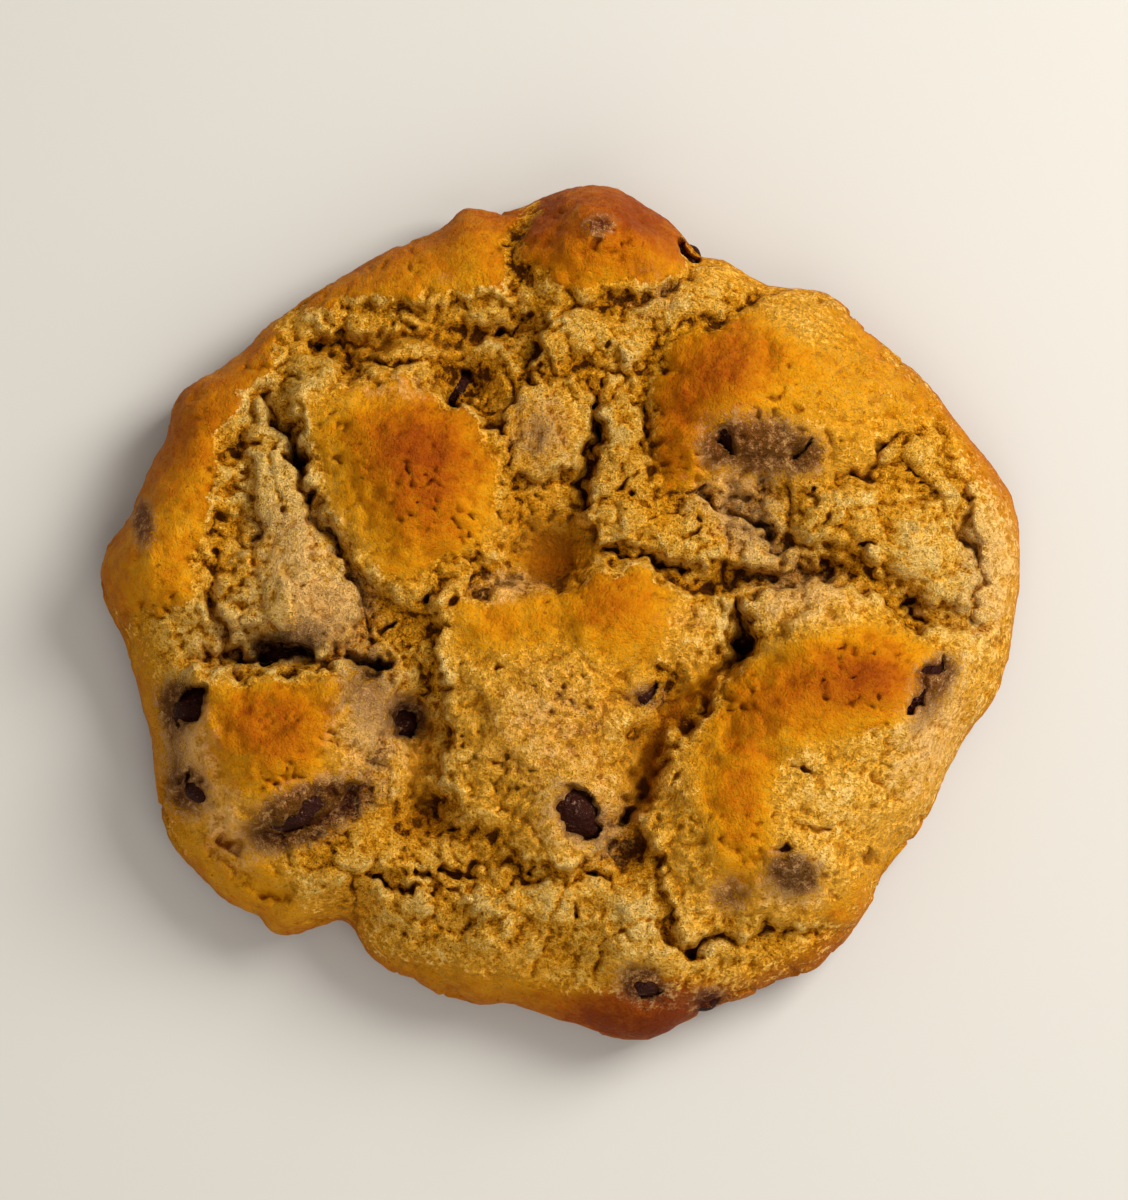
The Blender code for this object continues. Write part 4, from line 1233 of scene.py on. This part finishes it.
@dataclass
class Dough:
    """The baked dough in one piece: crust, rounded side and underside.

    Attributes:
        relief: The crust's form.
        chips: The chips that it is drawn round.
        cells: Cells along one side of the sheet that it starts from.
        undercut: How far the side rolls under.
        undercut_steps: How many steps it does so in.
        voxel: Width of the even faces.
        most_triangles: How many triangles are kept.
        crisping: How much sharper the small forms are made.
        crisping_most: The furthest that this moves a point.
        film: How thick the dough over a chip is at least.
        flush: How high it may stand over a chip's top round a bare place.
        laid_bare: How far it is sunk under a bare place.
    """

    relief: Relief
    chips: list[bpy.types.Object]
    cells: int = 460
    undercut: float = 3.2
    undercut_steps: int = 6
    voxel: float = 0.21
    most_triangles: int = 198_000
    crisping: float = 0.5
    crisping_most: float = 0.3
    film: float = 0.25
    flush: float = 0.5
    laid_bare: float = 0.35

    def sheet(self) -> bpy.types.Object:
        """Draw a square sheet into a disc and lift it into the crust's form.

        Returns:
            The sheet.
        """
        deselect()
        bpy.ops.mesh.primitive_grid_add(x_subdivisions=self.cells, y_subdivisions=self.cells, size=2.0)
        piece = bpy.context.object
        piece.name = piece.data.name = "dough_body"
        flat = coordinates(piece.data) * MM
        across, along = flat[:, 0], flat[:, 1]
        wide = np.abs(across) >= np.abs(along)
        share = np.where(wide, np.abs(across), np.abs(along))
        safe = np.where(share > 0, share, 1.0)
        slant = np.where(wide, along / safe, across / safe) * 45.0
        bearing = np.where(wide, np.where(across >= 0, slant, 180.0 - slant),
                           np.where(along >= 0, 90.0 - slant, 270.0 + slant)) % 360.0
        reach = self.relief.reach_of(bearing)
        turned = 1.0 - self.relief.shoulder / reach
        eased = np.sin(np.clip((share - 0.8) / 0.2, 0.0, 1.0) * math.pi / 2)
        outward = np.where(share < 0.8, turned * share / 0.8, turned + (1.0 - turned) * eased)
        heading = np.radians(bearing)
        x, y = outward * reach * np.cos(heading), outward * reach * np.sin(heading)
        move_points(piece.data, np.stack([x, y, self.relief.top_height(x, y)], axis=1))
        return piece

    def close(self, piece: bpy.types.Object) -> None:
        """Turn the sheet's rim under and fill the flat underside.

        Args:
            piece: The sheet.
        """
        pick(piece)
        bpy.ops.object.mode_set(mode="EDIT")
        bpy.ops.mesh.select_mode(type="EDGE")
        bpy.ops.mesh.select_all(action="DESELECT")
        bpy.ops.mesh.select_non_manifold()
        height, reach = self.relief.waist, self.relief.reach + 3.0
        inset = 0.0
        for step in range(1, self.undercut_steps + 1):
            turn = step / self.undercut_steps * math.pi / 2
            next_height = self.relief.waist * (1.0 - math.sin(turn))
            next_inset = self.undercut * (1.0 - math.cos(turn))
            shrink = (reach - next_inset) / (reach - inset)
            bpy.ops.mesh.extrude_region_move(
                TRANSFORM_OT_translate={"value": (0, 0, (next_height - height) * MM)})
            bpy.ops.transform.resize(value=(shrink, shrink, 1.0), center_override=(0, 0, 0))
            height, inset = next_height, next_inset
        bpy.ops.mesh.edge_face_add()
        bpy.ops.mesh.select_all(action="SELECT")
        bpy.ops.mesh.normals_make_consistent(inside=False)
        bpy.ops.object.mode_set(mode="OBJECT")

    def remesh(self, piece: bpy.types.Object) -> None:
        """Give the whole body even faces, small enough for its crumb.

        Args:
            piece: The body.
        """
        even = piece.modifiers.new("even_faces", "REMESH")
        even.mode = "VOXEL"
        even.voxel_size = self.voxel * MM
        pick(piece)
        bpy.ops.object.modifier_apply(modifier=even.name)

    def sculpt(self, piece: bpy.types.Object) -> None:
        """Raise the crumb's grains and the skin's slight unevenness along the surface.

        Args:
            piece: The body.
        """
        points, normals = coordinates(piece.data), point_normals(piece.data)
        _, skin, _ = self.relief.plates(points[:, 0], points[:, 1])
        side = smooth_step(points[:, 2] / 1.2)
        torn = (1.0 - skin) * smooth_step((points[:, 2] - 3.0) / 3.0)
        plain = 1.0 - np.clip(patches(*points.T[:2], SMOOTH), 0.0, 1.0)
        shaken = points + 0.4 * np.stack([stir(points, 1.3, seed) for seed in (61, 62, 63)], axis=1)
        crumb = 0.08 * grains(shaken, 1.6, 31) + 0.09 * grains(shaken, 0.8, 32)
        crumb = crumb + 0.08 * stir(points, 1.1, 33)
        skin_relief = 0.14 * grains(shaken, 3.4, 34) + 0.10 * grains(shaken, 1.4, 35)
        skin_relief = skin_relief + 0.07 * stir(points, 0.8, 36)
        flank = side * (1.0 - smooth_step((points[:, 2] - 4.5) / 4.0))
        _, crackle = broken(shaken, 4.4, 37, 0.05)
        flank_relief = 0.22 * stir(points, 2.4, 38)
        flank_relief = flank_relief - 0.5 * crackle * smooth_step(1.8 * stir(points, 5.0, 39))
        push = torn * plain * crumb + (1.0 - torn) * side * skin_relief + flank * flank_relief
        points = points + normals * push[:, None]
        points[:, 2] += smooth_step(-normals[:, 2] / 0.6) * self.underside(*points.T[:2])
        blunt = relaxed(points, edge_ends(piece.data), 5)
        sharper = np.clip(self.crisping * (points - blunt), -self.crisping_most, self.crisping_most)
        points = points + sharper * side[:, None]
        self.uncover(points, normals)
        move_points(piece.data, within_box(points))

    def underside(self, x: Array, y: Array) -> Array:
        """Give the baked underside a slight weave of rises, and open pores.

        Args:
            x: Places along the cookie.
            y: Places across it.

        Returns:
            How far each place stands off the resting plane.
        """
        torn_x, torn_y = self.relief.torn_place(x, y)
        large, small = clumps(torn_x, torn_y, 6.5, 56), clumps(torn_x, torn_y, 2.4, 57)
        pores = 0.9 * smooth_step((large - 0.93) / 0.05) + 0.5 * smooth_step((small - 0.9) / 0.07)
        return 0.12 * (1.0 + wander(x, y, 4.0, 58)) + 0.08 * (1.0 + wander(x, y, 1.5, 59)) + pores

    def uncover(self, points: Array, normals: Array) -> None:
        """Sink the dough where a chip is bare, and draw a film of it over the rest of the chip.

        Args:
            points: The dough's points in millimetres, moved in place.
            normals: The outward direction at each point.
        """
        torn_x, torn_y = self.relief.torn_place(points[:, 0], points[:, 1])
        edge = 0.36 - 0.16 * self.relief.scallop(torn_x, torn_y)
        shown = patches(torn_x, torn_y, BARE)
        bare, near_bare = smooth_step((shown - edge) / 0.3), smooth_step((shown - 0.14) / 0.3)
        for chip in self.chips:
            tree = BVHTree.FromObject(chip, bpy.context.evaluated_depsgraph_get())
            low, high = coordinates(chip.data).min(axis=0), coordinates(chip.data).max(axis=0)
            near = np.all((points[:, :2] > low[:2]) & (points[:, :2] < high[:2]), axis=1)
            near &= (normals[:, 2] > 0.1) & (points[:, 2] > high[2] - 4.0)
            for index in np.flatnonzero(near):
                x, y, z = points[index]
                hit = tree.ray_cast(Vector((x, y, 40.0)) * MM, Vector((0, 0, -1)))[0]
                if hit:
                    top, share = hit.z / MM, bare[index]
                    over = z + near_bare[index] * (min(z, top + self.flush) - z)
                    over = max(over, top + self.film)
                    points[index, 2] = share * min(z, top - self.laid_bare) + (1 - share) * over

    def thin(self, piece: bpy.types.Object) -> None:
        """Keep fewer faces where the surface is plain.

        Args:
            piece: The body.
        """
        fewer = piece.modifiers.new("fewer_faces", "DECIMATE")
        triangles = 2 * len(piece.data.polygons)
        fewer.ratio = self.most_triangles / triangles
        pick(piece)
        bpy.ops.object.modifier_apply(modifier=fewer.name)

    def mark(self, piece: bpy.types.Object) -> None:
        """Note on the surface how baked, torn, filmed and hollow each place is, and where painted shade and
        painted light go.

        Args:
            piece: The body.
        """
        mesh = piece.data
        points, normals = coordinates(mesh), point_normals(mesh)
        x, y, z = points.T
        _, skin, baked = self.relief.plates(x, y)
        top = smooth_step((z - 2.5) / 4.0)
        rim = 1.0 - smooth_step((self.relief.reach_of(np.degrees(np.arctan2(y, x))) - np.hypot(x, y)) / 5.0)
        edges = edge_ends(mesh)
        near = relaxed(points, edges, 6)
        far = relaxed(near, edges, 120)
        # crease_shade: how far each place lies down in a crease, for the painted shade there.
        crease_shade = np.einsum("ij,ij->i", near - points, normals) / 0.16
        # raised: how far each place stands over its surroundings, lifted further by the painted-light
        # patches. The finish reads it for painted light on tops and painted shade in lows.
        raised = 0.5 + np.einsum("ij,ij->i", points - far, normals) / 3.0 + patches(x, y, PAINTED_LIGHT)
        under = smooth_step(-normals[:, 2] / 0.7) * (1.0 - top)
        ring = smooth_step((np.hypot(x, y) - 26.0) / 12.0)
        browned = baked * top + (1.0 - top) * 0.62 + 0.18 * rim * top
        browned = browned + under * (0.35 * ring - 0.15 + 0.2 * wander(x, y, 7.0, 60))
        torn = (1.0 - skin) * top * (1.0 - 0.6 * rim) * (1.0 - np.clip(patches(x, y, SMOOTH), 0.0, 1.0))
        marks = {
            "browned": browned, "torn": torn, "film": patches(x, y, FILMED) * top / FILM_RANGE,
            "crease_shade": crease_shade * (0.3 + 0.7 * top), "raised": raised, "floury_and_lit": patches(x, y, FLOURY_AND_LIT) * top,
            "dim": patches(*self.relief.torn_place(x, y), SHADE_PATCHES) * top}
        for name, values in marks.items():
            store(mesh, name, np.clip(values, 0.0, 1.0))

    def build(self) -> None:
        """Make the dough and leave it finished in place of its solid."""
        piece = self.sheet()
        self.close(piece)
        self.remesh(piece)
        self.sculpt(piece)
        self.thin(piece)
        self.mark(piece)
        piece.data.materials.clear()
        piece.data.materials.append(DoughFinish().make())
        piece.data.shade_smooth()
        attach(piece, BODY)
        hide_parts("dough")
        LOG.info("dough: %d points, %d faces", len(piece.data.vertices), len(piece.data.polygons))


@dataclass
class Chips:
    """The chocolate chips that show, each softened by the oven.

    Attributes:
        levels: How often each chip is rounded off.
        dent: How deep the dents are, and dent_size how far apart.
        pimple: How high the fine bumps are, and pimple_size how far apart.
    """

    levels: int = 2
    dent: float = 0.3
    dent_size: float = 1.8
    pimple: float = 0.05
    pimple_size: float = 0.7

    def soften(self, name: str, finish: bpy.types.Material, seed: int) -> bpy.types.Object:
        """Copy one chip's solid, round it off and give it the dents of a baked drop.

        Args:
            name: The solid's node.
            finish: What the chip is made of.
            seed: Which dents to give it.

        Returns:
            The finished chip.
        """
        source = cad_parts[name]
        piece = bpy.data.objects.new(name + "_drop", source.data.copy())
        bpy.context.scene.collection.objects.link(piece)
        piece.data.materials.clear()
        pick(piece)
        bpy.ops.object.mode_set(mode="EDIT")
        bpy.ops.mesh.select_all(action="SELECT")
        bpy.ops.mesh.remove_doubles(threshold=0.00001)
        bpy.ops.mesh.tris_convert_to_quads()
        bpy.ops.object.mode_set(mode="OBJECT")
        rounder = piece.modifiers.new("rounded", "SUBSURF")
        rounder.levels = rounder.render_levels = self.levels
        bpy.ops.object.modifier_apply(modifier=rounder.name)
        points, normals = coordinates(piece.data), point_normals(piece.data)
        push = self.dent * stir(points, self.dent_size, 50 + seed)
        push = push + self.pimple * stir(points, self.pimple_size, 80 + seed)
        move_points(piece.data, within_box(points + normals * push[:, None]))
        piece.data.materials.append(finish)
        piece.data.shade_smooth()
        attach(piece, BODY)
        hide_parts(name)
        return piece

    def build(self) -> list[bpy.types.Object]:
        """Make every chip.

        Returns:
            The chips, in the order of their names.
        """
        finish = ChocolateFinish().make()
        names = sorted(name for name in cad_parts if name.startswith("chip_"))
        pieces = [self.soften(name, finish, seed) for seed, name in enumerate(names)]
        for piece in pieces:
            LOG.info("%s: %d faces", piece.name, len(piece.data.polygons))
        return pieces


class Lamp(NamedTuple):
    """A soft square light, aimed at the cookie."""
    name: str
    place: tuple[float, float, float]
    width: float
    power: float
    colour: Colour


@dataclass
class Studio:
    """A plain pale floor, soft light and the camera that looks down on the cookie.

    Attributes:
        lamps: The lights.
        sky: Colour of the light from all round, and sky_strength how strong it is.
        distance: From the camera to what it looks at.
        elevation: How high the camera looks from, in degrees over the floor.
        frame_height: How much of the floor the picture takes in.
        aim: The place that the camera looks at.
    """

    lamps: tuple[Lamp, ...] = (
        Lamp("key", (0.36, 0.22, 0.36), 0.3, 3.95, (1.0, 0.975, 0.93)),
        Lamp("fill", (0.10, -0.36, 0.42), 0.5, 1.1, (1.0, 0.98, 0.95)))
    sky: Colour = (1.0, 0.965, 0.91)
    sky_strength: float = 0.41
    distance: float = 0.8
    elevation: float = 85.0
    frame_height: float = 0.120
    aim: tuple[float, float, float] = (0.0004, 0.0011, 0.005)

    def floor(self) -> None:
        """Lay the floor under the cookie."""
        deselect()
        bpy.ops.mesh.primitive_plane_add(size=3.0)
        floor = bpy.context.object
        floor.name = "floor"
        floor.data.materials.append(FloorFinish().make())

    def light(self, lamp: Lamp) -> None:
        """Hang one light.

        Args:
            lamp: Its place, width, power and colour.
        """
        glow = bpy.data.lights.new(lamp.name, "AREA")
        glow.size = lamp.width
        glow.energy = lamp.power
        glow.color = lamp.colour
        holder = bpy.data.objects.new(lamp.name, glow)
        holder.location = lamp.place
        holder.rotation_euler = (Vector(self.aim) - Vector(lamp.place)).to_track_quat("-Z", "Y").to_euler()
        bpy.context.scene.collection.objects.link(holder)

    def surround(self) -> None:
        """Set the even light that comes from all round."""
        world = bpy.data.worlds.new("studio")
        world.use_nodes = True
        background = world.node_tree.nodes["Background"].inputs
        background["Color"].default_value = (*self.sky, 1.0)
        background["Strength"].default_value = self.sky_strength
        bpy.context.scene.world = world

    def camera(self) -> None:
        """Set the camera at its height and frame."""
        lens = bpy.data.cameras.new("camera")
        lens.sensor_width = 36.0
        lens.lens = lens.sensor_width * self.distance / self.frame_height
        lens.clip_start, lens.clip_end = 0.01, 10.0
        holder = bpy.data.objects.new("camera", lens)
        tilt = math.radians(self.elevation)
        back = Vector((0.0, -math.cos(tilt), math.sin(tilt)))
        holder.location = Vector(self.aim) + back * self.distance
        holder.rotation_euler = (-back).to_track_quat("-Z", "Y").to_euler()
        bpy.context.scene.collection.objects.link(holder)
        bpy.context.scene.camera = holder

    def build(self) -> None:
        """Set the whole stage."""
        self.floor()
        for lamp in self.lamps:
            self.light(lamp)
        self.surround()
        bpy.context.scene.view_settings.view_transform = "Standard"
        self.camera()


def main() -> None:
    """Build the cookie and its stage."""
    logging.basicConfig(level=logging.INFO, format="%(name)s: %(message)s")
    chips = Chips().build()
    Dough(Relief(), chips).build()
    Studio().build()


if __name__ == "__main__":
    main()
